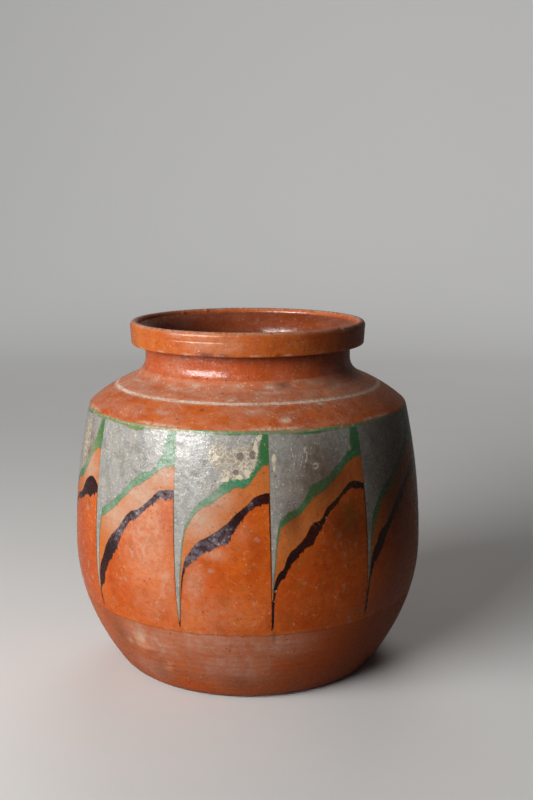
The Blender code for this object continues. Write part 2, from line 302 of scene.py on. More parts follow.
# %% Ragged edges between two slips
# The mask is one where the neighbour has run past the edge, and the seam is the thin line between
# them. Side is 1 for a neighbour below the edge and -1 for one above, so that both pieces agree on
# where the edge lies. Hairs are drawn down from the edge by the comb. Open falls to 0 beside a
# stroke, where the slips lie in thin lines.
values = {"Distance": 0.0, "Side": 1.0, "Wander": 0.8, "Hairs": 0.0, "Softness": 0.3, "Open": 1.0}
tree, given = start_group("ragged_edge", ("Mask", "Seam"), **values)
coarse = noise(tree, 230.0, 6.0, 0.68) - 0.5
hair = spread(noise(tree, 900.0, 3.0, 0.6, stretched(tree, 0.10)), 0.48, 0.78)
swing = coarse * (given["Wander"] * 2.4) - hair * given["Hairs"]
swing = swing * (given["Open"] * 0.9 + 0.1) * given["Side"]
soft = given["Softness"] * (given["Open"] * 0.3 + 0.7)
mask = calc("ADD", (swing - given["Distance"]) / soft, 0.5, clamp=True)
end_group(tree, Mask=mask, Seam=mask * (1.0 - mask) * 4.0)

# %% Scratches across the wall: noise on the unrolled wall, drawn out along one axis
tree, given = start_group("scratches", ("Mask",), Turn=0.0, Share=0.3)
drawn = vector("MULTIPLY", turned_by(on_chart(tree), given["Turn"]), (0.10, 2.2, 1.0))
line = noise(tree, 1.0, 2.0, 0.5, drawn) - (given["Share"] * -0.28 + 0.78)
end_group(tree, Mask=spread(line, 0.0, 0.04))


def scratches(tree, turn, share):
    """A mask of scratches: their turn in radians and how much of the wall they cover."""
    return use_group(tree, "scratches", Turn=turn, Share=share)["Mask"]


# %% One scratch at a place
# The unrolled place is moved to the middle of the scratch and turned, so that the scratch lies
# along one axis and its mask is a short thin box with soft sides.
tree, given = start_group("one_scratch", ("Mask",), Middle=(0.0, 0.0, 0.0), Turn=0.0, Reach=3.0)
leaning = turned_by(vector("SUBTRACT", on_chart(tree), given["Middle"]), given["Turn"])
across = place(tree, "SeparateXYZ", 0, {0: leaning})
aside = calc("ABSOLUTE", across + (noise(tree, 500.0, 2.0) * 1.2 - 0.6))
along = calc("ABSOLUTE", across.sibling(1)) / given["Reach"]
end_group(tree, Mask=spread(aside, 0.32, 0.08) * spread(along, 1.0, 0.75))

# %% Dust that settles on what faces up
tree, given = start_group("dust_film", ("Mask",), Amount=0.4, Scale=70.0, Lean=0.5)
facing_up = place(tree, "SeparateXYZ", 2, {0: place(tree, "NewGeometry", "Normal")})
patch = spread(noise(tree, given["Scale"], 8.0, 0.74, stretched(tree, 2.5)), 0.42, 0.60)
film = patch * (facing_up * given["Lean"] + 0.5)
end_group(tree, Mask=calc("MULTIPLY", film, given["Amount"], clamp=True))

# %% [markdown]
# The slips and the bare clay
#
# Slip is clay thinned to cream and coloured with oxides: copper for the green, manganese and iron
# for the brown, ochre for the peach, red clay for the orange and a grey-white clay for the top.
# Each colour is a node group with a colour, a dullness and a height. A group is better than five
# separate materials here, because a slip also shows in its neighbour where the edge has bled. Wear
# is a mask from the piece: it warms and darkens the grey, yellows the green, greys the brown,
# deepens the orange and the ochre and lays dust on the bare clay. On the grey, the ochre and the
# orange it is partly painted shade over the right side of the pot, away from the window. Haze is
# another: a milky bloom of the old glaze, and partly a painted sheen on the front left, where the
# window's light falls.

# %% What all slips have
# Blotches per metre: the grain of the slip, small spots and wide clouds
GRAIN, MOTTLE, CLOUD = 900.0, 260.0, 62.0


def start_slip(name):
    """A group for one slip, with its wear, partly painted shade, and its haze, partly a painted sheen,
    going in.
    """
    return start_group(name, ("Colour", "Dull", "Height"), Wear=0.0, Haze=0.0)


def patchy(haze_and_sheen):
    """Haze, which is partly a painted sheen, a little thinner between small spots."""
    return haze_and_sheen * (blotches(haze_and_sheen.tree, MOTTLE) * 0.25 + 0.75)


# %% Grey slip
tree, given = start_slip("grey_slip")
grain = blotches(tree, GRAIN)
brushed = blotches(tree, 520.0, 0.46, 0.70, 0.25)
smoke = blotches(tree, 135.0, 0.48, 0.68)
white = specks(tree, 1050.0, 0.34, 0.20)
grit = specks(tree, 720.0, 0.25, 0.10)
colour = layered(
    blend(blotches(tree, CLOUD), (0.245, 0.250, 0.245), (0.330, 0.306, 0.268)),
    # Wear: a warmer, darker grey, partly painted shade on the right side of the pot
    (given["Wear"], 0.90, (0.190, 0.122, 0.074)),
    (blotches(tree, MOTTLE), 0.40, (0.41, 0.395, 0.36)),
    (smoke, 0.55, (0.170, 0.148, 0.120)),
    (grain, 0.48, (0.165, 0.152, 0.135)),
    (brushed, 0.22, (0.47, 0.45, 0.405)),
    (grit, 0.65, (0.070, 0.055, 0.045)),
    (white, 0.60, (0.64, 0.60, 0.52)),
)
end_group(tree, Colour=colour, Dull=grain * 0.25, Height=white - grit)

# %% Green slip
tree, given = start_slip("green_slip")
grain = blotches(tree, GRAIN)
thin = blotches(tree, 210.0, 0.46, 0.70)
colour = layered(
    blend(blotches(tree, CLOUD), (0.036, 0.140, 0.040), (0.042, 0.205, 0.105)),
    (given["Wear"], 0.9, (0.165, 0.205, 0.040)),
    # Haze: a paler, milky green, partly a painted sheen on the front left
    (patchy(given["Haze"]), 0.72, (0.32, 0.38, 0.30)),
    (thin, 0.30, (0.130, 0.165, 0.085)),
    (grain, 0.32, (0.022, 0.085, 0.026)),
    (specks(tree, 1000.0, 0.34, 0.10), 0.5, (0.33, 0.36, 0.25)),
)
end_group(tree, Colour=colour, Dull=thin * 0.3, Height=grain * 0.6)

# %% Ochre slip
tree, given = start_slip("ochre_slip")
grain = blotches(tree, GRAIN)
haze_and_sheen = patchy(given["Haze"])
smudge = blotches(tree, 170.0, 0.50, 0.70, 1.6)
grit = specks(tree, 800.0, 0.26, 0.12)
colour = layered(
    blend(blotches(tree, CLOUD), (0.47, 0.122, 0.022), (0.51, 0.155, 0.038)),
    # Wear deepens the ochre, partly as painted shade on the right side; the haze below is partly a painted
    # sheen on the front left
    (given["Wear"], 0.7, (0.38, 0.072, 0.006)),
    (grain, 0.36, (0.37, 0.085, 0.015)),
    (haze_and_sheen, 1.0, (0.455, 0.285, 0.200)),
    (smudge, 0.35, (0.34, 0.105, 0.030)),
    (grit, 0.6, (0.12, 0.040, 0.02)),
)
end_group(tree, Colour=colour, Dull=haze_and_sheen * 0.4, Height=grain - grit)

# %% Brown slip, which wears to a speckled grey
tree, given = start_slip("brown_slip")
ash = specks(tree, 900.0, 0.44, 0.30)
greyed = given["Wear"] * (blotches(tree, 330.0, 0.42, 0.60) * 0.74 + 0.24)
colour = layered(
    blend(blotches(tree, CLOUD), (0.014, 0.0020, 0.0022), (0.034, 0.0052, 0.0046)),
    (blotches(tree, GRAIN), 0.35, (0.009, 0.0018, 0.0022)),
    (greyed, 0.90, (0.145, 0.112, 0.130)),
    (ash * greyed, 0.8, (0.36, 0.32, 0.31)),
)
end_group(tree, Colour=colour, Dull=greyed * 0.6, Height=ash * 0.4)

# %% Orange slip
tree, given = start_slip("orange_slip")
haze_and_sheen = patchy(given["Haze"])
broken_haze_and_sheen = haze_and_sheen * (blotches(tree, 340.0, 0.36, 0.64) * 0.50 + 0.50)
pooled = blotches(tree, 125.0, 0.50, 0.66)
bands = blotches(tree, 60.0, 0.44, 0.70, 7.0)
spent = blotches(tree, 150.0, 0.54, 0.68)
ashen = blotches(tree, 205.0, 0.59, 0.70)
fleck = blotches(tree, 480.0, 0.52, 0.68)
grit = specks(tree, 700.0, 0.24, 0.09)
# Pale specks, which also stand in for small painted glints of the glaze
pale_specks_and_glints = specks(tree, 900.0, 0.36, 0.06) * (1.0 - pooled * 0.8)
colour = layered(
    blend(blotches(tree, CLOUD), (0.44, 0.064, 0.0030), (0.59, 0.122, 0.0110)),
    # Wear: a deeper orange, partly painted shade on the right side and at the far left
    (given["Wear"], 0.85, (0.34, 0.036, 0.0005)),
    (blotches(tree, MOTTLE), 0.38, (0.55, 0.135, 0.024)),
    (pooled, 0.50, (0.385, 0.046, 0.0015)),
    (blotches(tree, GRAIN), 0.32, (0.39, 0.052, 0.003)),
    (bands, 0.24, (0.37, 0.052, 0.004)),
    # Pinkish haze, partly a painted sheen on the front left
    (broken_haze_and_sheen, 1.0, (0.52, 0.265, 0.165)),
    (spent, 0.42, (0.29, 0.080, 0.012)),
    (ashen, 0.42, (0.42, 0.26, 0.20)),
    (fleck, 0.28, (0.32, 0.050, 0.007)),
    (grit, 0.6, (0.14, 0.022, 0.005)),
    (pale_specks_and_glints, 0.40, (0.66, 0.36, 0.19)),
)
end_group(tree, Colour=colour, Dull=haze_and_sheen * 0.3, Height=pale_specks_and_glints - grit)

# %% Bare clay
tree, given = start_slip("bare_clay")
wiped = blotches(tree, 42.0, 0.34, 0.70, 5.0)
runs = blotches(tree, 210.0, 0.44, 0.68, 0.22)
grit = specks(tree, 620.0, 0.28, 0.10)
pale = specks(tree, 820.0, 0.32, 0.10)
film = blotches(tree, MOTTLE) * 0.40 + (runs * 0.25 + 0.45)
veil = calc("MULTIPLY", given["Wear"], film, clamp=True)
colour = layered(
    blend(blotches(tree, CLOUD), (0.37, 0.066, 0.010), (0.45, 0.098, 0.020)),
    (wiped, 0.30, (0.33, 0.080, 0.026)),
    (blotches(tree, GRAIN), 0.30, (0.27, 0.056, 0.016)),
    (runs, 0.22, (0.26, 0.070, 0.030)),
    (veil, 1.0, (0.44, 0.210, 0.142)),
    (grit, 0.5, (0.13, 0.040, 0.016)),
    (pale, 0.4, (0.56, 0.33, 0.22)),
)
end_group(tree, Colour=colour, Dull=spread(veil, 0.0, 1.0, 0.4, 0.9), Height=pale - grit)

# %% [markdown]
# The turned outline
#
# A potter's wheel gives every section the same axis, so the whole pot is one outline carried round
# it. The outline is written as a few curves: a rounded foot, a parabola up to the belly and another
# above it, a bulging shoulder, a hollow neck and the strap rim. The sizes repeat those of the
# solids. The inside follows at the thickness of the wall.

# %% Sizes of the outline, in metres
MM = 0.001
BASE_RADIUS, FOOT_ROUND = 0.0643, 0.0046
BELLY_RADIUS, BELLY_HEIGHT = 0.0877, 0.0625
SHOULDER_RADIUS, SHOULDER_HEIGHT = 0.0796, 0.1326
SHOULDER_BULGE = 0.0010
NECK_FOOT = (0.0585, 0.1455)
NECK_CORNER_HEIGHT = 0.1488
NECK_RADIUS, NECK_HEIGHT = 0.0514, 0.1550
RIM_UNDERSIDE = 0.1616
RIM_LOWER_RADIUS, RIM_RADIUS = 0.0582, 0.0588
LIP = 0.0042
HEIGHT = 0.1731
WALL = 0.0058
FLOOR, FLOOR_RADIUS = 0.0080, 0.0560
SLIP_BOTTOM, SLIP_THICKNESS = 0.0415, 0.0006
LINE_BOTTOM = 0.1312
EDGE_START, EDGE_SHARE = 0.1315, 0.05
# Heights at which the clay sections meet on the inside
LOWER_TOP, BELLY_TOP, SHOULDER_TOP, NECK_TOP = 0.0375, 0.1286, 0.1460, 0.1576
print("height and width:", HEIGHT, 2.0 * BELLY_RADIUS)


# %% Lines of the outline
def bend(start, corner, end, count):
    """A curve that leaves its start towards a corner and reaches its end from there."""
    share = np.linspace(0.0, 1.0, count)[:, None]
    start, corner, end = np.array(start), np.array(corner), np.array(end)
    return (1 - share) ** 2 * start + 2 * share * (1 - share) * corner + share**2 * end


def wall_radius(height):
    """The belly radius less a square of how far a height lies below or above the widest place."""
    below = np.clip(1.0 - height / BELLY_HEIGHT, 0.0, None)
    above = np.clip((height - BELLY_HEIGHT) / (SHOULDER_HEIGHT - BELLY_HEIGHT), 0.0, None)
    drawn_in = (BELLY_RADIUS - BASE_RADIUS) * below**2 + (BELLY_RADIUS - SHOULDER_RADIUS) * above**2
    return BELLY_RADIUS - drawn_in


def wall_line(bottom, top, count):
    """The outer wall between two heights, from the bottom up."""
    heights = np.linspace(bottom, top, count)
    return np.column_stack((wall_radius(heights), heights))


def shoulder_line(start, end, count):
    """The shoulder between two shares of its run: a straight line with a low bulge."""
    share = np.linspace(start, end, count)[:, None]
    edge = np.array((SHOULDER_RADIUS, SHOULDER_HEIGHT))
    along = np.array(NECK_FOOT) - edge
    out = np.array((along[1], -along[0])) / np.linalg.norm(along)
    return edge + share * along + 4.0 * share * (1.0 - share) * SHOULDER_BULGE * out


def level_line(start, end, height, count):
    """A level line from one radius to another."""
    return np.column_stack((np.linspace(start, end, count), np.full(count, height)))


def inward(line, depth):
    """A line that runs upwards, moved square to itself into the clay."""
    slope = np.gradient(line, axis=0)
    normal = np.column_stack((-slope[:, 1], slope[:, 0]))
    normal /= np.linalg.norm(normal, axis=1)[:, None]
    return line + depth * normal


def joined(*lines):
    """Lines end to end, with the points that repeat left out."""
    line = np.vstack(lines)
    step = np.linalg.norm(np.diff(line, axis=0), axis=1)
    return line[np.concatenate(((True,), step > 1e-7))]


print("wall at the belly and at the shoulder:", wall_radius(BELLY_HEIGHT), wall_radius(SHOULDER_HEIGHT))

# %% Outer and inner lines of the clay
# Points of the neck and of the edge at which one section hands over to the next
NECK_HAND_OVER, EDGE_HAND_OVER = 22, 7
INNER_RISE, INNER_TOP = 0.014, 0.124
INNER_CORNER = (0.0752, 0.1287)
INNER_FOOT = 0.0635
MOUTH_DROP = 0.004

neck_curve = bend(NECK_FOOT, (NECK_RADIUS, NECK_CORNER_HEIGHT), (NECK_RADIUS, NECK_HEIGHT), 40)
foot_end = (float(wall_radius(FOOT_ROUND)), FOOT_ROUND)
foot_curve = bend((BASE_RADIUS - FOOT_ROUND, 0.0), (BASE_RADIUS, 0.0), foot_end, 12)
edge_start = wall_line(EDGE_START, EDGE_START, 1)[0]
edge_end = shoulder_line(EDGE_SHARE, EDGE_SHARE, 1)[0]
edge_curve = bend(edge_start, (SHOULDER_RADIUS, SHOULDER_HEIGHT), edge_end, 15)
lower_outer = joined(foot_curve, wall_line(FOOT_ROUND, SLIP_BOTTOM, 70))

throat = NECK_RADIUS - WALL
lip_start = (RIM_RADIUS - LIP, HEIGHT - 0.5 * LIP)
mouth_start = (throat, RIM_UNDERSIDE - MOUTH_DROP)
mouth = bend(mouth_start, (throat, 0.5 * (HEIGHT + RIM_UNDERSIDE)), lip_start, 24)
under_neck = inward(neck_curve, WALL)
under_shoulder = inward(shoulder_line(0.3, 1.0, 30), WALL)
inner_wall = inward(wall_line(FLOOR + INNER_RISE, INNER_TOP, 60), WALL)
inner_turn = bend(inner_wall[-1], INNER_CORNER, under_shoulder[0], 14)
floor_turn = bend((FLOOR_RADIUS, FLOOR), (INNER_FOOT, FLOOR), inner_wall[0], 14)
inside = joined(floor_turn, inner_wall, inner_turn, under_shoulder, under_neck, mouth)
print("points down the inside:", len(inside))


def inside_between(bottom, top):
    """The inner line between two heights, from the top down, with exact ends."""
    keep = inside[(inside[:, 1] > bottom + 1e-6) & (inside[:, 1] < top - 1e-6)]
    ends = np.interp((bottom, top), inside[:, 1], inside[:, 0])
    return np.vstack(((ends[1], top), keep[::-1], (ends[0], bottom)))


# %% [markdown]
# Marks of the hand
#
# A thrown pot is never perfectly round. Slow waves round the wall, fine rings from the fingers, a
# line turned into the rim and a few dents and chips are added to the radius. Sums of sines are
# enough for the waves, and each dent is a bell curve round its own place. One function does this
# for all pieces, so that neighbours still meet.


# %% Bell curves round places on the wall
def smooth_step(value, low, high):
    """0 below low, 1 above high, and a smooth rise between them."""
    share = np.clip((value - low) / (high - low), 0.0, 1.0)
    return share * share * (3.0 - 2.0 * share)


def hump(value, middle, half_width):
    """A bell curve round one value."""
    return np.exp(-(((value - middle) / half_width) ** 2))


def bell(flat, degrees, middle, half_width, half_height, strength=1.0):
    """A bell curve over the unrolled wall, round a place in degrees and millimetres."""
    turn = np.angle(np.exp(1j * (flat[..., 0] * MM / BELLY_RADIUS - math.radians(degrees))))
    across = turn * BELLY_RADIUS / MM / half_width
    up = (flat[..., 1] - middle) / half_height
    return strength * np.exp(-(across**2) - up**2)


def bells(flat, places):
    """The highest of several bell curves."""
    return np.max([bell(flat, *spot) for spot in places], axis=0)


print("half way up a bell:", round(float(hump(0.83, 0.0, 1.0)), 2))

# %% Waves, rings and dents
# Every place on the wall is given as degrees to the right of the front, and its height, half width
# and half height in mm. The fifth number of a dent is its depth in mm, and less than 0 is a bump.
DENTS = (
    (49.8, 173, 1.7, 1.3, 0.75), (-37, 31.5, 3.6, 5, 0.75), (-35.5, 25, 4.5, 1.1, -0.80),
    (-29.5, 16.2, 3.6, 1.5, 1.00), (-27.5, 18.6, 3, 0.9, -0.75), (-40.5, 38, 3, 2.5, 0.30),
    (13, 162.4, 0.9, 0.7, -0.35), (118, 24, 4, 2.5, 0.50), (205, 172.6, 1.6, 1.2, 0.60),
    (-140, 171.8, 1.4, 1.2, 0.50),
)
RING_PITCH, FINE_PITCH = 0.0031, 0.0011
RIM_LINE, RIM_LINE_DEPTH = 168.6, 0.13


def hand_marks(angle, height):
    """Waves of two and three turns, rings of about three millimetres, the rim's line, and dents."""
    flat = np.stack(np.broadcast_arrays(angle * BELLY_RADIUS / MM, height / MM), axis=-1)
    wave = 0.10 * np.sin(2.0 * angle + 0.7) + 0.07 * np.sin(3.0 * angle + 45.0 * height + 2.0)
    drift = 0.6 * np.sin(angle + 0.5) + 0.4 * np.sin(2.0 * angle)
    rings = np.sin(2.0 * math.pi * height / RING_PITCH + drift)
    rings = rings + 0.6 * np.sin(height / FINE_PITCH + 2.0 * drift)
    bare = 1.0 - smooth_step(height, 0.036, 0.042)
    above = smooth_step(height, 0.133, 0.137) * (1.0 - smooth_step(height, 0.158, 0.162))
    pressed = 0.55 + 0.45 * np.cos(angle + 0.6 + 0.5 * np.sin(3.0 * angle))
    total = wave + (0.035 * bare + 0.012 * above) * rings
    total = total - RIM_LINE_DEPTH * pressed * hump(flat[..., 1], RIM_LINE, 0.40)
    return (total - np.sum([bell(flat, *spot) for spot in DENTS], axis=0)) * MM


sample = hand_marks(np.linspace(-3.0, 3.0, 400)[None], np.linspace(0.0, 0.04, 60)[:, None])
print("largest mark on the lower wall:", round(float(np.abs(sample).max() / MM), 2), "mm")

# %% [markdown]
# From an outline to a mesh
#
# Spinning an outline is what the Screw modifier does. Worked out as an array it is one line for
# each coordinate, and the marks of the hand, the bake map and the painted masks come from the same
# grid. Rows follow the outline, columns go round, and both close on themselves.

# %% Meshes from grids
SHARP_ANGLE = math.radians(38.0)
# The marks of the hand fade towards the axis from this radius
MARKED_RADIUS = 0.05


def ring_mesh(name, points):
    """A grid of points, rows by columns, closed round the columns and along the rows.

    The bake map unrolls it: across is the share of a turn, up is the share of the outline's length.
    """
    rows, columns = points.shape[:2]
    index = np.arange(rows * columns).reshape(rows, columns)
    ring = np.vstack((index, index[:1]))
    beside = np.roll(ring, -1, axis=1)
    quads = np.stack((ring[:-1], beside[:-1], beside[1:], ring[1:]), axis=-1)
    mesh = bpy.data.meshes.new(name)
    mesh.from_pydata(points.reshape(-1, 3), [], quads.reshape(-1, 4))
    outline = points[ring[:, 0] // columns, columns // 2]
    length = np.concatenate(((0.0,), np.cumsum(np.linalg.norm(np.diff(outline, axis=0), axis=1))))
    up = length / length[-1]
    across = np.linspace(0.0, 1.0, columns + 1)
    corner = np.empty(quads.shape + (2,))
    corner[..., 0] = np.stack((across[:-1], across[1:], across[1:], across[:-1]), axis=-1)[None]
    corner[..., 1] = np.stack((up[:-1], up[:-1], up[1:], up[1:]), axis=-1)[:, None]
    layer = mesh.uv_layers.new(name="OFBake")
    layer.data.foreach_set("uv", corner.astype(np.float32).ravel())
    mesh.shade_smooth()
    mesh.set_sharp_from_angle(angle=SHARP_ANGLE)
    return mesh


# %% Pieces turned round the axis
def on_wall(angle, reach, height):
    """Points at an angle to the right of the front, a distance from the axis and a height."""
    return np.stack((reach * np.sin(angle), -reach * np.cos(angle), height + 0.0 * angle), axis=-1)


def paint(mesh, flat, masks):
    """Keep the unrolled place and some masks on the points, under the names that materials read."""
    chart = np.zeros(flat.shape[:-1] + (3,), dtype=np.float32)
    chart[..., :2] = flat
    mesh.attributes.new("unrolled", "FLOAT_VECTOR", "POINT").data.foreach_set("vector", chart.ravel())
    for name, values in masks.items():
        layer = mesh.attributes.new(name, "FLOAT", "POINT")
        layer.data.foreach_set("value", np.asarray(values, dtype=np.float32).ravel())


def turned(name, section, columns=360, masks=None):
    """An outline of (radius, height) carried round the axis, with the marks of the hand."""
    angle = np.linspace(-math.pi, math.pi, columns, endpoint=False)[None]
    radius, height = section[:, :1], section[:, 1:]
    reach = radius + hand_marks(angle, height) * np.clip(radius / MARKED_RADIUS, 0.0, 1.0)
    flat = np.stack(np.broadcast_arrays(angle * BELLY_RADIUS / MM, height / MM), axis=-1)
    mesh = ring_mesh(name, on_wall(angle, reach, height))
    paint(mesh, flat, masks(flat, radius + 0.0 * angle) if masks else {})
    return mesh


def add_piece(mesh, node, material):
    """Put a mesh on the frame in place of its solid, with its finish."""
    piece = bpy.data.objects.new(mesh.name, mesh)
    scene.collection.objects.link(piece)
    mesh.materials.append(material)
    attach(piece, "root")
    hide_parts(node)
    print(mesh.name, "stands for", node, "with", 2 * len(mesh.polygons), "triangles")


# %% [markdown]
# A finish for every piece
#
# All finishes end in one Principled shader: a colour, a roughness, a bump and the index of the glaze,
# which says how strongly it mirrors. It is highest on the grey, lower on the coats below and lowest
# on the bare clay. An old glaze is neither sharp nor soft: sharp grains lie among scratched ones, so
# the roughness changes from grain to grain and along the bands in which it was wiped. These helpers
# make the shader and leave the colour to the step that knows the piece.

# %% Start and end of a finish
GLAZE_INDEX = 1.5
GLAZE_DEPTH = 0.0005
SHARP, SOFT = 0.06, 0.40


def start_finish(name):
    """An empty material and its graph."""
    material = bpy.data.materials.new(name)
    material.use_nodes = True
    return material, material.node_tree


def end_finish(material, colour, rough, height, depth=GLAZE_DEPTH, index=GLAZE_INDEX):
    """Wire the colour, the roughness, and a height of a given depth as a bump, and set the index."""
    tree = material.node_tree
    shader = tree.nodes["Principled BSDF"].inputs
    shader["IOR"].default_value = index
    wire(colour, shader["Base Color"])
    wire(rough, shader["Roughness"])
    bump = place(tree, "Bump", "Normal", {"Strength": 1.0, "Distance": depth, "Height": height})
    wire(bump, shader["Normal"])
    print(material.name, "finish:", len(tree.nodes), "nodes")


def worn_shine(dull):
    """Roughness from sharp to soft, by grain and by wiped band, and softer where it is dull."""
    grains = blotches(dull.tree, 1150.0, 0.36, 0.64)
    wiped = blotches(dull.tree, 190.0, 0.34, 0.66, 4.0)
    rough = spread(grains * 0.55 + wiped * 0.45, 0.0, 1.0, SHARP, SOFT)
    return calc("ADD", rough, dull * 0.30, clamp=True)


def uneven(height):
    """A height with the slow ripple, the peel and the fine grain that break up the shine of a glaze."""
    ripple, peel, grain = (noise(height.tree, scale, 2.0) for scale in (90.0, 420.0, 1400.0))
    return ripple + peel * 0.22 + grain * 0.09 + height * 0.03


print("roughness of the glaze:", SHARP, "to", SOFT)

# %% [markdown]
# Bare clay of the foot and the floor
#
# Below the slip the clay was left bare. It is pinkish brown and matt, with a film of dust, an orange
# patch where it was handled, a run under one stroke of the comb, and a scar where it touched another
# pot in the kiln. The scar is in the mesh, and masks on the points give it its pale colour.

# %% Finish of the bare clay
BARE_INDEX = 1.22
BARE_DEPTH = 0.00012

bare_finish, tree = start_finish("bare_clay")
clay = use_group(tree, "bare_clay", Wear=painted(tree, "dusted"))
orange = use_group(tree, "orange_slip", Haze=painted(tree, "dusted") * 0.4)
values = {"Distance": painted(tree, "below_slip"), "Side": -1.0, "Wander": 1.3, "Softness": 0.7}
edge = use_group(tree, "ragged_edge", **values)
rough_patch = blotches(tree, 260.0, 0.30, 0.64)
colour = layered(
    clay["Colour"],
    (painted(tree, "handled"), 0.70, (0.46, 0.072, 0.008)),
    # Soot, and painted shade on the lower left
    (painted(tree, "sooted") * (rough_patch * 0.6 + 0.4), 0.55, (0.135, 0.058, 0.036)),
    (edge["Mask"], 1.0, orange["Colour"]),
    (edge["Seam"], 0.55, (0.16, 0.045, 0.018)),
    (painted(tree, "scarred") * rough_patch, 0.75, (0.55, 0.34, 0.22)),
    (painted(tree, "dragged"), 0.60, (0.10, 0.030, 0.018)),
    (scratches(tree, 0.5, 0.42), 0.30, (0.55, 0.33, 0.23)),
)
height = clay["Height"] + noise(tree, 420.0) * 1.5
end_finish(bare_finish, colour, worn_shine(clay["Dull"]), height, BARE_DEPTH, BARE_INDEX)

# %% Floor and lower wall
# Height to which the orange slip ran down over the bare clay, in mm
ORANGE_FOOT = 39.6
# A fifth number is the strength of the mark
LOWER_WEAR = {
    "dusted": (
        (-12, 36, 28, 10), (-36, 32, 12, 8), (-29, 30, 12, 9), (-38, 13, 14, 6, 0.8), (12, 34, 20, 8),
        (-4, 22, 24, 10), (-110, 30, 40, 12), (150, 32, 50, 12),
    ),
    "scarred": ((-37.8, 31, 4, 6.2), (-29, 17.5, 4, 1.6), (-43, 27, 2.2, 2)),
    "handled": ((13, 21, 5, 4), (-20, 7, 12, 3), (32, 24, 18, 16)),
    # Soot smudges near the foot; the spot at -48 degrees is painted shade that darkens the lower left
    "sooted": ((-4, 12, 10, 5), (-48, 29, 10, 12), (-34, 12, 8, 4), (-100, 20, 20, 9)),
    "dragged": (
        (8.8, 38.5, 0.9, 3.2), (-20.3, 39.6, 0.5, 1.8), (-26.5, 15, 2.6, 0.5), (-30, 19.4, 3.2, 0.4),
    ),
}


def lower_masks(flat, radius):
    """Dust, scars, the handled patch, soot with some painted shade, and runs as bell curves, and how far
    below the slip.
    """
    masks = {key: bells(flat, places) for key, places in LOWER_WEAR.items()}
    masks["below_slip"] = ORANGE_FOOT - flat[..., 1]
    return masks


# The disc stops just short of the axis and is a little hollow below, with a small chamfer round it
AXIS_GAP, FLOOR_START = 0.0004, 0.004
FLOOR_LIFT, FLOOR_CHAMFER, SEAT_GAP = 0.0003, 0.0010, 0.0002

floor_under = level_line(FLOOR_START, FLOOR_RADIUS - SEAT_GAP, FLOOR_LIFT, 24)
floor_top = level_line(FLOOR_RADIUS - FLOOR_START, FLOOR_START, FLOOR, 24)
floor_side = ((FLOOR_RADIUS, FLOOR_CHAMFER), (FLOOR_RADIUS, FLOOR))
floor_section = np.vstack(((AXIS_GAP, 0.0), floor_under, floor_side, floor_top, (AXIS_GAP, FLOOR)))
add_piece(turned("floor_clay", floor_section, 240), "floor_disc", bare_finish)

lower_start = ((FLOOR_RADIUS + SEAT_GAP, FLOOR_LIFT), (FLOOR_RADIUS + 0.0015, 0.0))
lower_section = joined(lower_start, lower_outer, inside_between(FLOOR, LOWER_TOP))
add_piece(turned("lower_clay", lower_section, 540, lower_masks), "lower_wall", bare_finish)

# %% [markdown]
# Glazed clay of the inside, the shoulder, the neck and the rim
#
# Above the coat the clay is red under a clear glaze, glossy where it is clean and greyish where
# dust lies on it. Worn edges are lighter, and the lip is partly a painted highlight. One finish
# with a few values would do, but the inside is cleaner and given much darker reds than the
# shoulder, as painted shade of the hollow over the glaze's own red, so the recipe is a function with
# its own colours. It reads masks for dust, chips, stains with painted shade under the rim, and
# painted shade on the inner side.


# %% Recipe of the red glaze
def shaded(colour, share):
    """A colour made darker, or lighter with a share over 1."""
    return tuple(share * channel for channel in colour)


def red_glaze(name, deep, bright, dust):
    """A red clay under glaze: two reds in clouds, dust on what faces up, painted shade on the inner side,
    scratches, chips, and stains with painted shade under the rim.
    """
    material, tree = start_finish(name)
    settled = use_group(tree, "dust_film", Amount=dust, Scale=52.0, Lean=0.75)["Mask"]
    streaky = blotches(tree, 110.0, 0.32, 0.68, 4.0)
    film = calc("MAXIMUM", settled, painted(tree, "dusted") * (streaky * 0.55 + 0.30))
    chips = painted(tree, "chipped") * blotches(tree, 520.0, 0.34, 0.60)
    scuffs = scratches(tree, 0.35, 0.50) * (film * 0.8 + 0.10)
    grit = specks(tree, 700.0, 0.28, 0.08)
    pale = specks(tree, 950.0, 0.38, 0.16)
    colour = layered(
        blend(blotches(tree, 34.0), deep, bright),
        (blotches(tree, 420.0, 0.36, 0.68), 0.30, shaded(deep, 0.74)),
        (blotches(tree, 1000.0, 0.38, 0.66), 0.22, shaded(deep, 0.60)),
        (blotches(tree, 170.0, 0.44, 0.66, 0.3), 0.40, shaded(bright, 1.10)),
        # Painted shade on the inner side of the neck and the rim
        (painted(tree, "inner"), 0.75, (0.130, 0.017, 0.003)),
        (film, 0.90, (0.49, 0.285, 0.200)),
        (scuffs, 0.9, (0.62, 0.44, 0.33)),
        # Stains, and painted shade under the rim and in the rim's chip
        (painted(tree, "stained"), 0.80, (0.050, 0.022, 0.018)),
        (grit, 0.55, (0.07, 0.018, 0.008)),
        (chips, 0.85, (0.54, 0.47, 0.37)),
        (pale * (film + 0.16), 0.9, (0.66, 0.50, 0.36)),
    )
    end_finish(material, colour, worn_shine(film + chips), uneven(pale - grit + chips))
    return material


shoulder_finish = red_glaze("shoulder_glaze", (0.43, 0.074, 0.0085), (0.55, 0.118, 0.018), 0.30)
neck_finish = red_glaze("neck_glaze", (0.38, 0.058, 0.0075), (0.46, 0.082, 0.014), 0.16)
rim_finish = red_glaze("rim_glaze", (0.42, 0.070, 0.0085), (0.50, 0.122, 0.016), 0.10)
# The inside's reds are much darker than the outside's: painted shade of the hollow over the glaze's own
# red
inside_finish = red_glaze("inside_glaze", (0.115, 0.013, 0.002), (0.16, 0.022, 0.004), 0.08)

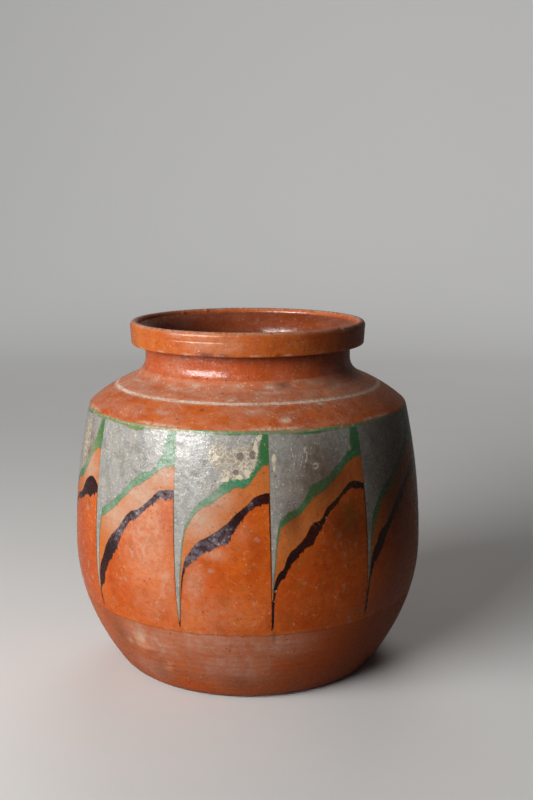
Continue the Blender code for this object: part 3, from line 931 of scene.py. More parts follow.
# %% Belly wall, which shows on the inside
belly_outer = wall_line(SLIP_BOTTOM, SHOULDER_HEIGHT - 0.0012, 60) - (SLIP_THICKNESS, 0.0)
belly_section = joined(belly_outer, inside_between(LOWER_TOP, BELLY_TOP))
add_piece(turned("belly_clay", belly_section), "belly_wall", inside_finish)

# %% Shoulder with the bed of the cream line
CREAM_PLACE, CREAM_WIDTH = 0.67, 0.0018
CREAM_BED, CREAM_TOP = 0.0004, 0.00006
CREAM_HEIGHT = shoulder_line(CREAM_PLACE, CREAM_PLACE, 1)[0, 1] / MM
SHOULDER_CHIPS = (
    (-24, 147.5, 2.2, 0.8), (11.5, 147.4, 2.8, 0.9), (14, 136.2, 2.8, 1), (26.5, 149.8, 1.4, 0.6),
    (-6, 143, 2, 0.7), (30, 141, 4, 0.6), (-40, 137, 1.2, 0.6), (160, 139, 3, 1),
)
SHOULDER_DUST = (
    (-39, 146.5, 5, 2), (-24, 147.2, 4, 1.2), (9.2, 147.8, 6, 1.6), (-11.8, 143.6, 4, 1.2),
    (13.5, 136.2, 3, 1.2), (26.8, 142.4, 6, 2), (3.5, 139.3, 9, 2), (-69, 143.2, 6, 3),
    (-31, 137.5, 6, 1.2), (120, 140, 30, 5), (-140, 143, 20, 3),
)
SHOULDER_STAINS = ((18, 148.3, 6, 1.3), (-16, 139.6, 1.3, 0.5), (-100, 142, 3, 1))


def shoulder_masks(flat, radius):
    """Dust above the cream line and in patches, more dust towards the right, where it partly stands in for
    a painted sheen, worn edges, chips and stains.
    """
    turn, up = flat[..., 0] * MM / BELLY_RADIUS, flat[..., 1]
    right = smooth_step(np.sin(turn - 0.1), 0.0, 0.8)
    clean = 1.0 - 0.45 * smooth_step(np.sin(turn), 0.70, 0.95)
    high = smooth_step(up, 141.0, 144.0) * (1.0 - smooth_step(up, 148.5, 151.0))
    low = smooth_step(up, 134.0, 136.5) * (1.0 - high)
    # More dust towards the right, which partly stands in for a painted sheen there
    dusted = high * (0.82 + 0.04 * right) + 0.34 * right * low
    worn = 0.75 * hump(up, 133.2, 0.55) + 0.55 * hump(up, 145.6, 0.5)
    chipped = np.maximum(bells(flat, SHOULDER_CHIPS), worn * smooth_step(np.sin(9.0 * turn), -0.2, 1.0))
    return {
        "dusted": clean * np.maximum(dusted, bells(flat, SHOULDER_DUST)),
        "chipped": np.maximum(chipped, 0.75 * hump(up, CREAM_HEIGHT, 0.75)),
        "stained": 0.8 * bells(flat, SHOULDER_STAINS),
    }


run = np.linalg.norm(np.array(NECK_FOOT) - (SHOULDER_RADIUS, SHOULDER_HEIGHT))
bed = CREAM_PLACE + np.array((-0.5, 0.5)) * CREAM_WIDTH / run
shoulder_section = joined(
    edge_curve[EDGE_HAND_OVER:],
    shoulder_line(EDGE_SHARE, bed[0], 50),
    inward(shoulder_line(*bed, 6), CREAM_BED),
    shoulder_line(bed[1], 1.0, 34),
    neck_curve[: NECK_HAND_OVER + 1],
    inside_between(BELLY_TOP, SHOULDER_TOP),
)
shoulder_mesh = turned("shoulder_clay", shoulder_section, 480, shoulder_masks)
add_piece(shoulder_mesh, "shoulder_ring", shoulder_finish)

# %% Neck
# Darker spots under the rim, in its shade
NECK_DARK_SPOTS = ((-18, 160.2, 5, 1), (-12.5, 160, 2.5, 0.9), (20, 160.4, 9, 0.9))
NECK_BLOOM = ((-40, 154, 16, 5), (170, 154, 30, 5))


def neck_masks(flat, radius):
    """Painted shade in a band under the rim, darker spots there, painted shade on the inner side, and dust
    at the foot and in patches.
    """
    up = flat[..., 1]
    foot = 1.0 - smooth_step(up, 148.5, 151.0)
    return {
        # A darker band right under the overhang of the rim is painted shade
        "stained": np.maximum(0.55 * hump(up, 161.3, 0.9), 0.85 * bells(flat, NECK_DARK_SPOTS)),
        "inner": 1.0 - smooth_step(radius, 0.0475, 0.0495),
        "dusted": np.maximum(0.5 * foot, 0.55 * bells(flat, NECK_BLOOM)),
    }


neck_top = [(NECK_RADIUS, RIM_UNDERSIDE)]
neck_section = joined(neck_curve[NECK_HAND_OVER:], neck_top, inside_between(SHOULDER_TOP, NECK_TOP))
add_piece(turned("neck_clay", neck_section, 480, neck_masks), "neck_collar", neck_finish)

# %% [markdown]
# The strap rim
#
# The rim was folded over and pressed into a band with a rounded lip. The outline is a straight face
# that leans out a little and a half circle for the lip. The fine line under the lip, pressed deeper
# on one side, is one of the marks of the hand.

# %% Rim
RIM_BLOOM = ((-20, 166.5, 14, 4), (-8, 167, 10, 4), (-30, 171, 12, 2))
# Dark marks along the lower edge of the band and in the chip at the right: stains, and partly painted
# shade
RIM_DARK_MARKS = ((-18, 162.6, 6, 1.3), (-10, 162.4, 4, 1), (15, 162.6, 1.6, 0.8), (49.8, 172.7, 1.5, 0.9))
RIM_EDGE, UNDERSIDE_END = 0.0010, 0.0570
LIP_HEIGHT = HEIGHT - 0.5 * LIP


def rim_masks(flat, radius):
    """Painted shade on the inner side, the lip made paler as worn glaze and as a painted highlight, and a
    few chips on the lower edge of the band.
    """
    up = flat[..., 1]
    lip = smooth_step(up, 171.6, 172.9) * smooth_step(radius, 0.0540, 0.0556)
    outer = smooth_step(radius, 0.0560, 0.0570)
    lower = outer * hump(up, 162.4, 0.5) * smooth_step(np.sin(0.26 * flat[..., 0]), 0.3, 1.0)
    return {
        "inner": 1.0 - smooth_step(radius, 0.0530, 0.0552),
        "dusted": 0.55 * outer * bells(flat, RIM_BLOOM),
        # The paler lip is worn glaze and partly a painted highlight
        "chipped": np.maximum(0.48 * lip, 0.5 * lower),
        "stained": 0.85 * bells(flat, RIM_DARK_MARKS),
    }


face_heights = np.linspace(RIM_UNDERSIDE + RIM_EDGE, LIP_HEIGHT, 44)[:-1]
face_share = (face_heights - RIM_UNDERSIDE) / (HEIGHT - RIM_UNDERSIDE)
face_radius = RIM_LOWER_RADIUS + (RIM_RADIUS - RIM_LOWER_RADIUS) * np.clip(1.25 * face_share, 0.0, 1.0)
rim_face = np.column_stack((face_radius, face_heights))
turn = np.linspace(0.0, math.pi, 22)
lip_round = 0.5 * LIP * np.column_stack((np.cos(turn), np.sin(turn)))
lip_curve = np.array((RIM_RADIUS - 0.5 * LIP, LIP_HEIGHT)) + lip_round
corner_height = RIM_UNDERSIDE + 0.0001
corner_start = (RIM_LOWER_RADIUS - RIM_EDGE, corner_height)
rim_corner = bend(corner_start, (RIM_LOWER_RADIUS, corner_height), rim_face[0], 8)
underside = level_line(NECK_RADIUS, UNDERSIDE_END, RIM_UNDERSIDE, 8)
rim_inner = inside_between(NECK_TOP, LIP_HEIGHT)[1:]
rim_section = joined(underside, rim_corner, rim_face, lip_curve, rim_inner)
add_piece(turned("rim_clay", rim_section, 540, rim_masks), "rim_band", rim_finish)

# %% [markdown]
# The cream line on the shoulder
#
# One line of pale slip was let fall on the turning shoulder. Handling has worn it, so that it is
# broken in places. The line is a thin ring that lies in its bed, and its finish lets the red show
# through where a blotch mask says that it is worn.

# %% Cream line
CREAM_DEPTH = 0.00008

cream_finish, tree = start_finish("cream_line")
worn = blotches(tree, 75.0, 0.44, 0.64)
nick = blotches(tree, 600.0, 0.40, 0.62)
colour = layered(
    blend(nick, (0.67, 0.51, 0.41), (0.60, 0.41, 0.31)),
    (worn * (nick * 0.6 + 0.4), 0.75, (0.47, 0.220, 0.130)),
    (specks(tree, 800.0, 0.30, 0.20), 0.5, (0.22, 0.11, 0.07)),
)
end_finish(cream_finish, colour, spread(worn, 0.0, 1.0, 0.62, 0.42), nick, CREAM_DEPTH)

cream_under = inward(shoulder_line(*bed, 6), CREAM_BED)[::-1]
cream_section = joined(inward(shoulder_line(*bed, 10), CREAM_TOP), cream_under)
add_piece(turned("cream_ring", cream_section, 480), "cream_shoulder_line", cream_finish)

# %% [markdown]
# The combed pattern
#
# Bands of slip were poured and trailed round the belly while the pot turned. Then a point was drawn
# down through the wet slip eleven times, and each stroke pulled the bands into a tall tooth. It is
# the old feather-combing of many country potteries.
#
# A drawing of it needs two numbers: the place round the pot, counted in panels between strokes, and
# the height. Each trail is given in every panel by a few points of its middle line and its
# thickness, joined by a smooth curve, as a hand would trail it. Near the strokes the edges follow a
# formula: a hollow flank that climbs away from the stroke and flares, and a fall beside the next.

# %% Strokes and trails, in degrees and millimetres
STROKES = (-188.15, -155.04, -121.93, -88.81, -55.7, -22.2, 7.5, 39.4, 72.51, 105.62, 138.74, 171.85)
LEANS = (2.0, 2.4, 1.6, 3.0, 4.4, 3.0, 0.9, 1.0, 2.2, 1.4, 2.6, 2.0)
PANEL_KINDS = "CABLABCDBCA"
# Panels that show in the photograph, by number
SEEN_PANELS = range(3, 8)
BACK_WAVE = 0.9
# Points of a trail: share of the panel, height of the middle, thickness
GREEN_TRAILS = {
    "A": ((0.11, 88.8, 3.5), (0.27, 94.2, 3.5), (0.43, 100.8, 4.5), (0.55, 106.3, 4.5),
          (0.66, 109.5, 4.6), (0.75, 111.5, 2.4), (0.85, 117, 5), (0.95, 119, 6)),
    "B": ((0.12, 89.5, 2.5), (0.23, 97.8, 3.5), (0.40, 103, 4), (0.57, 109, 5),
          (0.66, 110.6, 4.6), (0.74, 110.2, 4), (0.82, 114, 4), (0.92, 119.8, 4.5)),
    "C": ((0.07, 91.6, 4.4), (0.15, 94.2, 4), (0.31, 99.3, 3.6), (0.39, 104.5, 5),
          (0.54, 108, 5), (0.70, 113.8, 4.5), (0.86, 119.5, 5), (0.95, 121, 6)),
    "D": ((0.11, 90, 6), (0.23, 98.5, 4), (0.32, 101, 4.5), (0.47, 106, 4), (0.62, 111.5, 4),
          (0.78, 115.5, 4.5), (0.92, 119.5, 5)),
    "L": ((0.12, 86, 3.5), (0.25, 92, 3.5), (0.42, 99.5, 3), (0.57, 102.5, 5), (0.72, 109.5, 5),
          (0.81, 116, 6), (0.92, 121, 7)),
}
BROWN_TRAILS = {
    "A": ((0.09, 60, 11), (0.19, 70, 10), (0.27, 74.8, 10.6), (0.35, 80, 8), (0.43, 86, 6),
          (0.51, 90.5, 5), (0.60, 93, 3.4), (0.75, 99.2, 2.6), (0.83, 102.2, 3.6), (0.95, 103.5, 4)),
    "B": ((0.12, 73.5, 5), (0.23, 79.2, 7.5), (0.40, 84, 7), (0.57, 89.2, 7.5), (0.66, 94.4, 5),
          (0.74, 98, 3.4), (0.81, 101, 3.8), (0.88, 102.8, 4.5), (0.96, 103.5, 5)),
    "C": ((0.10, 68.8, 4.6), (0.15, 73.9, 7.8), (0.23, 78.6, 5.6), (0.31, 82.5, 5),
          (0.39, 86.5, 8.4), (0.47, 90, 4.2), (0.54, 95.2, 3.5), (0.66, 100, 2.5),
          (0.79, 105, 3), (0.86, 105.8, 3.5), (0.98, 104.3, 2.6)),
    "D": ((0.11, 72.5, 7), (0.17, 77, 8.6), (0.23, 79.8, 6), (0.32, 85, 4), (0.47, 91, 6),
          (0.62, 97, 4), (0.80, 103, 4), (0.95, 105, 4.5)),
    "L": ((0.12, 68, 6), (0.25, 79, 4), (0.42, 88.5, 2.6), (0.57, 90.6, 4.5), (0.72, 96.7, 8.2),
          (0.86, 98.4, 9), (0.94, 98.7, 5.5), (0.99, 98.2, 3)),
}
print("panels:", len(PANEL_KINDS), "trails:", len(GREEN_TRAILS) + len(BROWN_TRAILS))

# %% How the slips end beside the strokes, in shares of a panel and millimetres
# Where the green starts and ends its climb to the shoulder line
COLUMNS = {
    "A": (0.845, 0.905), "B": (0.85, 0.93), "C": (0.85, 0.895), "D": (0.86, 0.915), "L": (0.85, 0.94),
}
COLUMN_TOP = 131.13
# Where the flank opens, how wide its hollow is, and how wide the brown is beside the fall and the flank
FLANKS = {
    "A": (0.095, 3.0, 0.35, 0.40),
    "B": (0.115, 3.2, 0.60, 0.10),
    "C": (0.085, 2.4, 0.50, 0.50),
    "D": (0.100, 2.6, 0.40, 0.45),
    "L": (0.105, 3.0, 0.35, 0.30),
}
# How far each edge lies outside the grey on a flank: thin lines of green and ochre beside the stroke
BESIDE = (0.0, 0.0, 0.45, 0.80, 0.80)
# Height at which the grey ends on each stroke, and the brown on all of them
GREY_TIPS = (62.0, 51.0, 46.0, 48.0, 50.0, 45.5, 62.0, 60.0, 47.0, 58.0, 52.0, 62.0)
BROWN_TIP = 41.7
TIP_RISE = 0.8
# Edges from the top down: share of the way from the grey's tip to the brown's, reach on both sides
EDGES = (
    {"flat": LINE_BOTTOM / MM, "flank": 0.10, "fall": 0.08},
    {"drop": 0.00, "flank": 0.14, "fall": 0.11},
    {"drop": 0.07, "flank": 0.22, "fall": 0.16},
    {"drop": 0.25, "flank": 0.30, "fall": 0.22},
    {"drop": 1.00, "flank": 0.58, "fall": 0.28},
    {"flat": SLIP_BOTTOM / MM, "flank": 1.2, "fall": 1.0},
)
BROWN_EDGE = 4
HOLLOW_POWER, FLARE_POWER = 0.75, 5.0
FALL_RUN = 0.25
FLANK_STEPS, SLOPE_STEPS, FALL_STEPS = 18, 72, 20


def edge_tip(stroke, level):
    """Height at which an edge meets a stroke."""
    return GREY_TIPS[stroke] + (BROWN_TIP - GREY_TIPS[stroke]) * EDGES[level]["drop"]


def steps(start, end, count):
    """Even steps from a start, which is left out, to an end."""
    return np.linspace(start, end, count + 1)[1:]


print("lowest and highest tip of the grey:", min(GREY_TIPS), max(GREY_TIPS))


# %% Curves of the trails
def smooth_curve(points, at):
    """A curve through points of (place, value): between two of them a cubic that keeps their slopes."""
    where, value = np.array(points).T
    slope = np.gradient(value, where)
    at = np.clip(at, where[0], where[-1])
    left = np.clip(np.searchsorted(where, at, side="right") - 1, 0, len(where) - 2)
    gap = where[left + 1] - where[left]
    t = (at - where[left]) / gap
    rise = (1 + 2 * t) * (1 - t) ** 2 * value[left] + t**2 * (3 - 2 * t) * value[left + 1]
    return rise + gap * (t * (1 - t) ** 2 * slope[left] - t**2 * (1 - t) * slope[left + 1])


def trail_edges(number, share):
    """Heights of the four edges of the two trails at shares of a panel, from the top down.

    The upper edge of the green turns up into a column that reaches the shoulder line. Panels that
    repeat a kind round the back wave a little, so that no two are alike.
    """
    kind = PANEL_KINDS[number]
    wave = 0.0 if number in SEEN_PANELS else BACK_WAVE
    edges = []
    for trails in (GREEN_TRAILS, BROWN_TRAILS):
        points = np.array(trails[kind])
        middle = smooth_curve(points[:, :2], share) + wave * np.sin(5.0 * share + 1.7 * number)
        thick = smooth_curve(points[:, ::2], share) * (1.0 + 0.10 * np.sin(9.0 * share + 1.7 * number))
        edges += [middle + 0.5 * thick, middle - 0.5 * thick]
    start, end = COLUMNS[kind]
    climb = np.clip((share - start) / (end - start), 0.0, 1.0) ** 1.6
    edges[0] = edges[0] + (COLUMN_TOP - edges[0]) * climb
    return edges


front = [round(float(height), 1) for height in trail_edges(5, np.array(0.5))]
print("edges of the front panel at its middle:", front)


# %% Edges across the panels
def panel_edge(number, level, width):
    """One edge across one panel as (panels counted round, height): tip, flank, slope and fall.

    On the flank the distance from the stroke is a hollow that all edges share, a power of the
    height over the grey's tip, and a flare that takes each edge to the foot of its own slope.
    """
    edge = EDGES[level]
    foot, hollow, line, margin = FLANKS[PANEL_KINDS[number]]
    run = FALL_RUN + (0.9 * line if level == BROWN_EDGE else 0.0)
    corner = 1.0 - (edge["fall"] + run) / width
    climb = steps(0.0, 1.0, FLANK_STEPS)
    slope_share = steps(foot, corner, SLOPE_STEPS)
    fall = steps(0.0, 1.0, FALL_STEPS)
    fall_share = corner + run / width * fall
    if "flat" in edge:
        flank_share = edge["flank"] / width + (foot - edge["flank"] / width) * climb**1.4
        share = np.concatenate(((0.0,), flank_share, slope_share, fall_share))
        return np.column_stack((number + share, np.full(len(share), edge["flat"])))
    feet = trail_edges(number, np.array((foot,)))
    slope = trail_edges(number, slope_share)[level - 1]
    tip = edge_tip(number, level)
    next_low = edge_tip(number + 1, level) + TIP_RISE
    flank = tip + TIP_RISE + (feet[level - 1][0] - tip - TIP_RISE) * climb
    grey_tip = GREY_TIPS[number]
    opened = np.clip((flank - grey_tip) / (feet[0][0] - grey_tip), 0.0, 1.0)
    reach = edge["flank"] + hollow * opened**HOLLOW_POWER + BESIDE[level] * np.sqrt(opened)
    if level == BROWN_EDGE:
        reach = reach + margin * climb**0.7
    reach = reach + (foot * width - reach[-1]) * climb**FLARE_POWER
    share = np.concatenate(((0.0,), reach / width, slope_share, fall_share))
    height = np.concatenate(((tip,), flank, slope, slope[-1] + (next_low - slope[-1]) * fall))
    return np.column_stack((number + share, height))


# %% Edges all the way round
def coat_edge(level):
    """One edge all the way round, as (panels counted round, height in mm)."""
    widths = np.radians(np.diff(STROKES)) * BELLY_RADIUS / MM
    return np.vstack([panel_edge(number, level, width) for number, width in enumerate(widths)])


def unrolled(chart):
    """From (panels, height) to (arc at the belly, height), in millimetres, with the strokes' lean."""
    counted = np.arange(len(STROKES))
    share = (chart[..., 1] * MM - SLIP_BOTTOM) / (SHOULDER_HEIGHT - SLIP_BOTTOM)
    lean = np.interp(chart[..., 0], counted, LEANS) * (1.0 - share)
    arc = np.radians(np.interp(chart[..., 0], counted, STROKES)) * BELLY_RADIUS / MM
    return np.stack((arc + lean, chart[..., 1]), axis=-1)


edge_charts = [coat_edge(level) for level in range(len(EDGES))]
print("points on each edge:", len(edge_charts[0]))

# %% [markdown]
# Coats as thin shells
#
# Between two edges lies one coat. Its outer face is the chart between the edges wrapped round the
# wall, and its inner face lies a little deeper, so each coat is a closed ring that touches its
# neighbours. The distance from every point to the edge above and below is kept on the mesh, and
# the finishes use it to let the slips bleed into each other. Places of wear are kept there too, and
# places of painted shade and painted sheen.

# %% Places of wear, painted shade and painted sheen
# Given as for the dents, with the strength of the mark as a fifth number
WORN_PLACES = {
    "flaked": (
        (4.4, 129.6, 2.2, 1.5), (3.4, 125, 1.5, 3.2), (0.9, 114.6, 2.6, 2.4), (-1.8, 112.6, 2.8, 1.3),
        (-6, 111.3, 3, 1.5), (-9, 121, 2, 1.8), (8.7, 120, 1.3, 2.8), (9, 116, 0.9, 2),
        (118, 121, 4, 3), (124, 116, 3, 4), (-150, 124, 5, 3),
    ),
    "scabbed": (
        (-1.6, 121.6, 2.2, 2.2), (2.4, 122.2, 2.2, 2.6), (-2.8, 115, 1.8, 1.7), (121, 119, 2.4, 2),
    ),
    "crawled": (
        (-1, 120.5, 8, 8), (-8, 121.5, 6, 6), (-4, 114.5, 7, 4), (-70, 118, 7, 12), (121, 119, 9, 7),
        (-148, 122, 10, 6),
    ),
    "scratched": ((19, 119, 4.5, 6), (-16, 108, 8, 9), (150, 112, 12, 10)),
    "rubbed": (
        (-33.5, 94, 12, 9), (-26, 102, 10, 7), (-42, 84, 8, 7), (-15, 78, 9, 7), (-8, 85, 7, 6),
        (1, 101.5, 2.5, 3), (150, 90, 20, 9), (-120, 92, 18, 9),
    ),
    # A milky haze, and partly a painted sheen on the front left, where the window's light falls
    "hazed": (
        (-33, 101, 17, 12), (-27, 112, 9, 8), (-36, 102, 13, 8), (-43, 89, 12, 9), (-62, 107, 9, 11),
        (-14, 94, 10, 9), (-9, 103, 8, 6), (-15, 64, 4.5, 10, 0.9), (-14, 50, 24, 10, 0.42),
        (-24.5, 64, 5, 13, 0.85), (-29, 52, 12, 9, 0.5), (-9, 78.5, 6, 2.5), (-1, 88, 4, 5, 0.3),
        (-31, 84, 14, 24), (-25, 118, 6, 12), (100, 80, 26, 24), (-150, 74, 26, 20),
    ),
    # A warmer, darker grey, partly painted shade on the right side
    "warmed": ((22, 112, 18, 18), (56, 112, 24, 30), (-66, 116, 9, 16), (140, 110, 30, 20)),
    "yellowed": ((-62, 108, 8, 26), (-40, 131.5, 9, 4), (120, 105, 20, 20)),
    # A deeper orange and ochre, partly painted shade on the right side and at the far left
    "baked": (
        (3, 80, 4, 14), (29, 91, 11, 12), (29, 110, 9, 9), (22, 66, 16, 22, 0.8), (52, 84, 20, 34),
        (-65, 66, 13, 24), (-46, 60, 4, 12), (170, 70, 26, 18), (-100, 70, 22, 18),
    ),
    "dusted": ((-12, 42, 26, 5), (-36, 42, 18, 5), (16, 42, 22, 5), (150, 42, 50, 6)),
    # Painted shade over the right side of the pot, away from the window
    "smoked": (
        (32, 89, 12.5, 16), (25, 112, 14, 17), (14, 94, 5, 10), (56, 108, 25, 32), (112, 120, 16, 10),
    ),
    # A greenish patch on the right panel
    "coppered": ((33, 93, 5, 8),),
}
# Burst blisters in the glaze: degrees, height, radius of the ring
BLISTERS = ((22, 116.2, 1.1), (19.2, 123.6, 0.9), (-131, 112, 1.1))
# Scratches one by one: degrees, height, lean in degrees, half length
SCORES = (
    (15.3, 118.9, 17, 4.2), (17.6, 118.2, 14, 3.2), (19.2, 120.4, 12, 2.3), (14.7, 123, -12, 2.6),
    (-14, 106, 30, 3), (-9.5, 103.5, 22, 2.4),
)
# Green that the shoulder line let run into the grey: degrees, half width, depth
GREEN_SMEARS = ((-38.5, 8, 1.6), (21.5, 7, 1), (-1, 8, 0.4), (-74, 8, 1), (95, 9, 1.4), (-165, 12, 1.2))
SMEAR_HEIGHT = 90.0
print("places of wear:", sum(map(len, WORN_PLACES.values())))


# %% Masks of wear
def ring(flat, degrees, middle, reach):
    """A thin ring round a place on the wall, where a blister in the glaze has burst."""
    aside = flat[..., 0] - math.radians(degrees) * BELLY_RADIUS / MM
    return hump(np.hypot(aside, flat[..., 1] - middle), reach, 0.4)


def coat_wear(flat):
    """All masks of wear, of painted shade and of painted sheen on the coats: bell curves, and rings."""
    masks = {key: bells(flat, places) for key, places in WORN_PLACES.items()}
    masks["blistered"] = np.max([ring(flat, *spot) for spot in BLISTERS], axis=0)
    return masks


# %% Meshes of the coats
INNER_ROWS = 8


def edge_distance(points, edge):
    """Distance of each row's points from an edge, square to the edge, in millimetres."""
    ahead = np.roll(edge, -1, axis=0) - np.roll(edge, 1, axis=0)
    ahead[[0, -1]] = edge[[1, -1]] - edge[[0, -2]]
    ahead /= np.linalg.norm(ahead, axis=1)[:, None] + 1e-9
    square = np.column_stack((-ahead[:, 1], ahead[:, 0]))
    return np.abs(np.sum((points - edge[None]) * square[None], axis=-1))


def wrapped(flat, depth):
    """Points of (arc, height) in millimetres put on the wall, a depth under its face."""
    angle = flat[..., 0] * MM / BELLY_RADIUS
    height = flat[..., 1] * MM
    return on_wall(angle, wall_radius(height) + hand_marks(angle, height) - depth, height)


def coat_mesh(name, level, rows):
    """The shell between an edge and the next one below, with its masks and a coarser inner face."""
    upper, lower = edge_charts[level], edge_charts[level + 1]
    back = np.linspace(1.0, 0.0, INNER_ROWS)
    share = np.concatenate((np.linspace(0.0, 1.0, rows), back))[:, None, None]
    chart = lower[None] + share * (upper - lower)[None]
    flat = unrolled(chart)
    faces = (wrapped(flat[:rows], 0.0), wrapped(flat[rows:], SLIP_THICKNESS))
    mesh = ring_mesh(name, np.concatenate(faces))
    across = chart[..., 0] % 1.0
    masks = coat_wear(flat)
    masks["to_upper"] = edge_distance(flat, unrolled(upper))
    masks["to_lower"] = edge_distance(flat, unrolled(lower))
    masks["open"] = smooth_step(across, 0.05, 0.16) * (1.0 - smooth_step(across, 0.95, 0.985))
    if level == 0:
        for degrees, half_width, depth in GREEN_SMEARS:
            masks["to_upper"] -= bell(flat, degrees, COLUMN_TOP, half_width, SMEAR_HEIGHT, depth)
    paint(mesh, flat, masks)
    return mesh


# %% [markdown]
# Finishes of the coats
#
# Each coat shows its own slip, and near an edge the slip of the neighbour where the ragged edge
# says so. Over that lie the marks that all coats share: painted shade over the right side of the
# pot, flakes of lost glaze, scratches and pinholes.

# %% Slips from the top down, and the looks of their edges
SLIPS = ("grey_slip", "green_slip", "ochre_slip", "brown_slip", "orange_slip", "bare_clay")
WEAR_OF = dict(zip(SLIPS, ("warmed", "yellowed", "baked", "rubbed", "baked", "dusted")))
# How far an edge wanders, how long the hairs under it are, how soft it is, in mm, and how dark its seam
EDGE_LOOKS = (
    (1.1, 0.0, 0.70, 0.15),
    (0.9, 0.7, 0.80, 0.20),
    (0.7, 0.6, 0.60, 0.40),
    (0.7, 0.0, 0.45, 0.00),
    (1.6, 1.5, 0.50, 0.00),
    (0.0, 0.0, 0.05, 0.00),
)
SEAM = (0.13, 0.055, 0.022)


def slip(tree, name):
    """One slip placed in a finish, worn where its own mask says so."""
    return use_group(tree, name, Wear=painted(tree, WEAR_OF[name]), Haze=painted(tree, "hazed"))


def lay_slips(tree, level):
    """Colour, dullness and height of a coat with its neighbours running over its edges."""
    own = slip(tree, SLIPS[level])
    colour, dull = own["Colour"], own["Dull"]
    above = SLIPS[level - 1] if level else "green_slip"
    below = SLIPS[level + 1]
    sides = ((above, "to_upper", -1.0, level), (below, "to_lower", 1.0, level + 1))
    for other, mask_name, side, number in sides:
        near = slip(tree, other)
        wander, hairs, softness, seam = EDGE_LOOKS[number]
        values = {"Wander": wander, "Hairs": hairs, "Softness": softness, "Side": side}
        values.update({"Distance": painted(tree, mask_name), "Open": painted(tree, "open")})
        edge = use_group(tree, "ragged_edge", **values)
        colour = blend(edge["Mask"], colour, near["Colour"])
        if seam:
            colour = layered(colour, (edge["Seam"], seam, SEAM))
        dull = place(tree, "Mix", 0, {0: edge["Mask"], 2: dull, 3: near["Dull"]})
    return colour, dull, own["Height"]


print("edges with their own looks:", len(EDGE_LOOKS))


# %% Recipe of a coat
def scored_marks(tree, level, broken):
    """Scratches in the scratched places and, on the topmost coat, each of the single ones."""
    marks = scratches(tree, -1.25, 0.66) * (painted(tree, "scratched") * 0.5)
    for degrees, middle, lean, reach in SCORES if level == 0 else ():
        spot = (math.radians(degrees) * BELLY_RADIUS / MM, middle, 0.0)
        mark = use_group(tree, "one_scratch", Middle=spot, Turn=math.radians(lean), Reach=reach)["Mask"]
        marks = calc("MAXIMUM", marks, mark * broken)
    return marks


def coat_finish(name, level, index):
    """The slips of a coat, then painted shade on the right side, flakes, scabs, blisters, scratches and
    pinholes.
    """
    material, tree = start_finish(name)
    colour, dull, height = lay_slips(tree, level)
    torn = noise(tree, 330.0, 7.0, 0.72) - 0.5
    chips = spread(torn * 2.6 + painted(tree, "flaked") * 0.85, 0.42, 0.58)
    scabs = spread(painted(tree, "scabbed") - torn * 1.2, 0.45, 0.65)
    crawled = spread(painted(tree, "crawled") + torn * 1.2, 0.30, 0.75)
    curl = calc("ABSOLUTE", noise(tree, 520.0, 1.5, 0.5) - 0.5)
    worms = spread(curl, 0.075, 0.015) * crawled
    broken = blotches(tree, 700.0, 0.42, 0.56)
    blisters = painted(tree, "blistered") * broken
    holes = specks(tree, 430.0, 0.12, 0.12)
    colour = layered(
        colour,
        # Painted shade over the right side of the pot
        (painted(tree, "smoked"), 0.60, (0.050, 0.021, 0.008)),
        # A greenish patch on the right panel
        (painted(tree, "coppered") * broken, 0.45, (0.10, 0.10, 0.015)),
        (crawled, 0.45, (0.36, 0.280, 0.195)),
        (worms, 0.75, (0.62, 0.53, 0.39)),
        (chips, 0.80, (0.62, 0.54, 0.38)),
        (scabs, 0.85, (0.150, 0.118, 0.098)),
        (blisters, 0.70, (0.58, 0.52, 0.44)),
        (scored_marks(tree, level, broken), 0.75, (0.66, 0.61, 0.53)),
        (scratches(tree, 0.7, 0.36), 0.25, (0.60, 0.50, 0.42)),
        (holes, 0.70, (0.06, 0.03, 0.02)),
    )
    height = height - holes * 4.0 + chips + blisters + scabs * 2.0 + worms
    end_finish(material, colour, worn_shine(dull + chips), uneven(height), index=index)
    return material


# %% The five coats
# Name, node, slot, rows of the outer face, index of the glaze, which lies thinner lower down
COATS = (
    ("grey_coat", "grey_slip_band", "grey_slip", 52, 1.56),
    ("green_coat", "green_slip_trail", "green_slip", 9, 1.45),
    ("ochre_coat", "ochre_slip_band", "ochre_slip", 22, 1.36),
    ("brown_coat", "brown_slip_trail", "brown_slip", 12, 1.36),
    ("orange_coat", "orange_ground_slip", "orange_slip", 50, 1.31),
)
for level, (name, node, slot, rows, index) in enumerate(COATS):
    add_piece(coat_mesh(name, level, rows), node, coat_finish(name, level, index))

# %% [markdown]
# The green line at the shoulder
#
# A thin line of green runs round the turn of the shoulder. It is broken by wear. It is a narrow
# turned ring that goes on from the coat and round the edge, and its finish mixes green with the red
# of the shoulder and with pale scuffs.

# %% Green line
line_finish, tree = start_finish("green_line")
nick = blotches(tree, 460.0, 0.40, 0.62)
gone = blotches(tree, 58.0, 0.42, 0.60) * (nick * 0.5 + 0.5)
colour = layered(
    use_group(tree, "green_slip", Wear=0.6, Haze=0.30)["Colour"],
    (gone, 0.75, (0.36, 0.160, 0.070)),
    (specks(tree, 620.0, 0.42, 0.34), 0.30, (0.62, 0.54, 0.40)),
    (scratches(tree, 0.05, 0.75), 0.20, (0.66, 0.60, 0.50)),
)
end_finish(line_finish, colour, worn_shine(gone), uneven(nick))

line_top = joined(wall_line(LINE_BOTTOM, EDGE_START, 3), edge_curve[: EDGE_HAND_OVER + 1])
line_section = joined(line_top, line_top[::-1] - (SLIP_THICKNESS, 0.0002))
add_piece(turned("green_line", line_section, 480), "green_shoulder_line", line_finish)

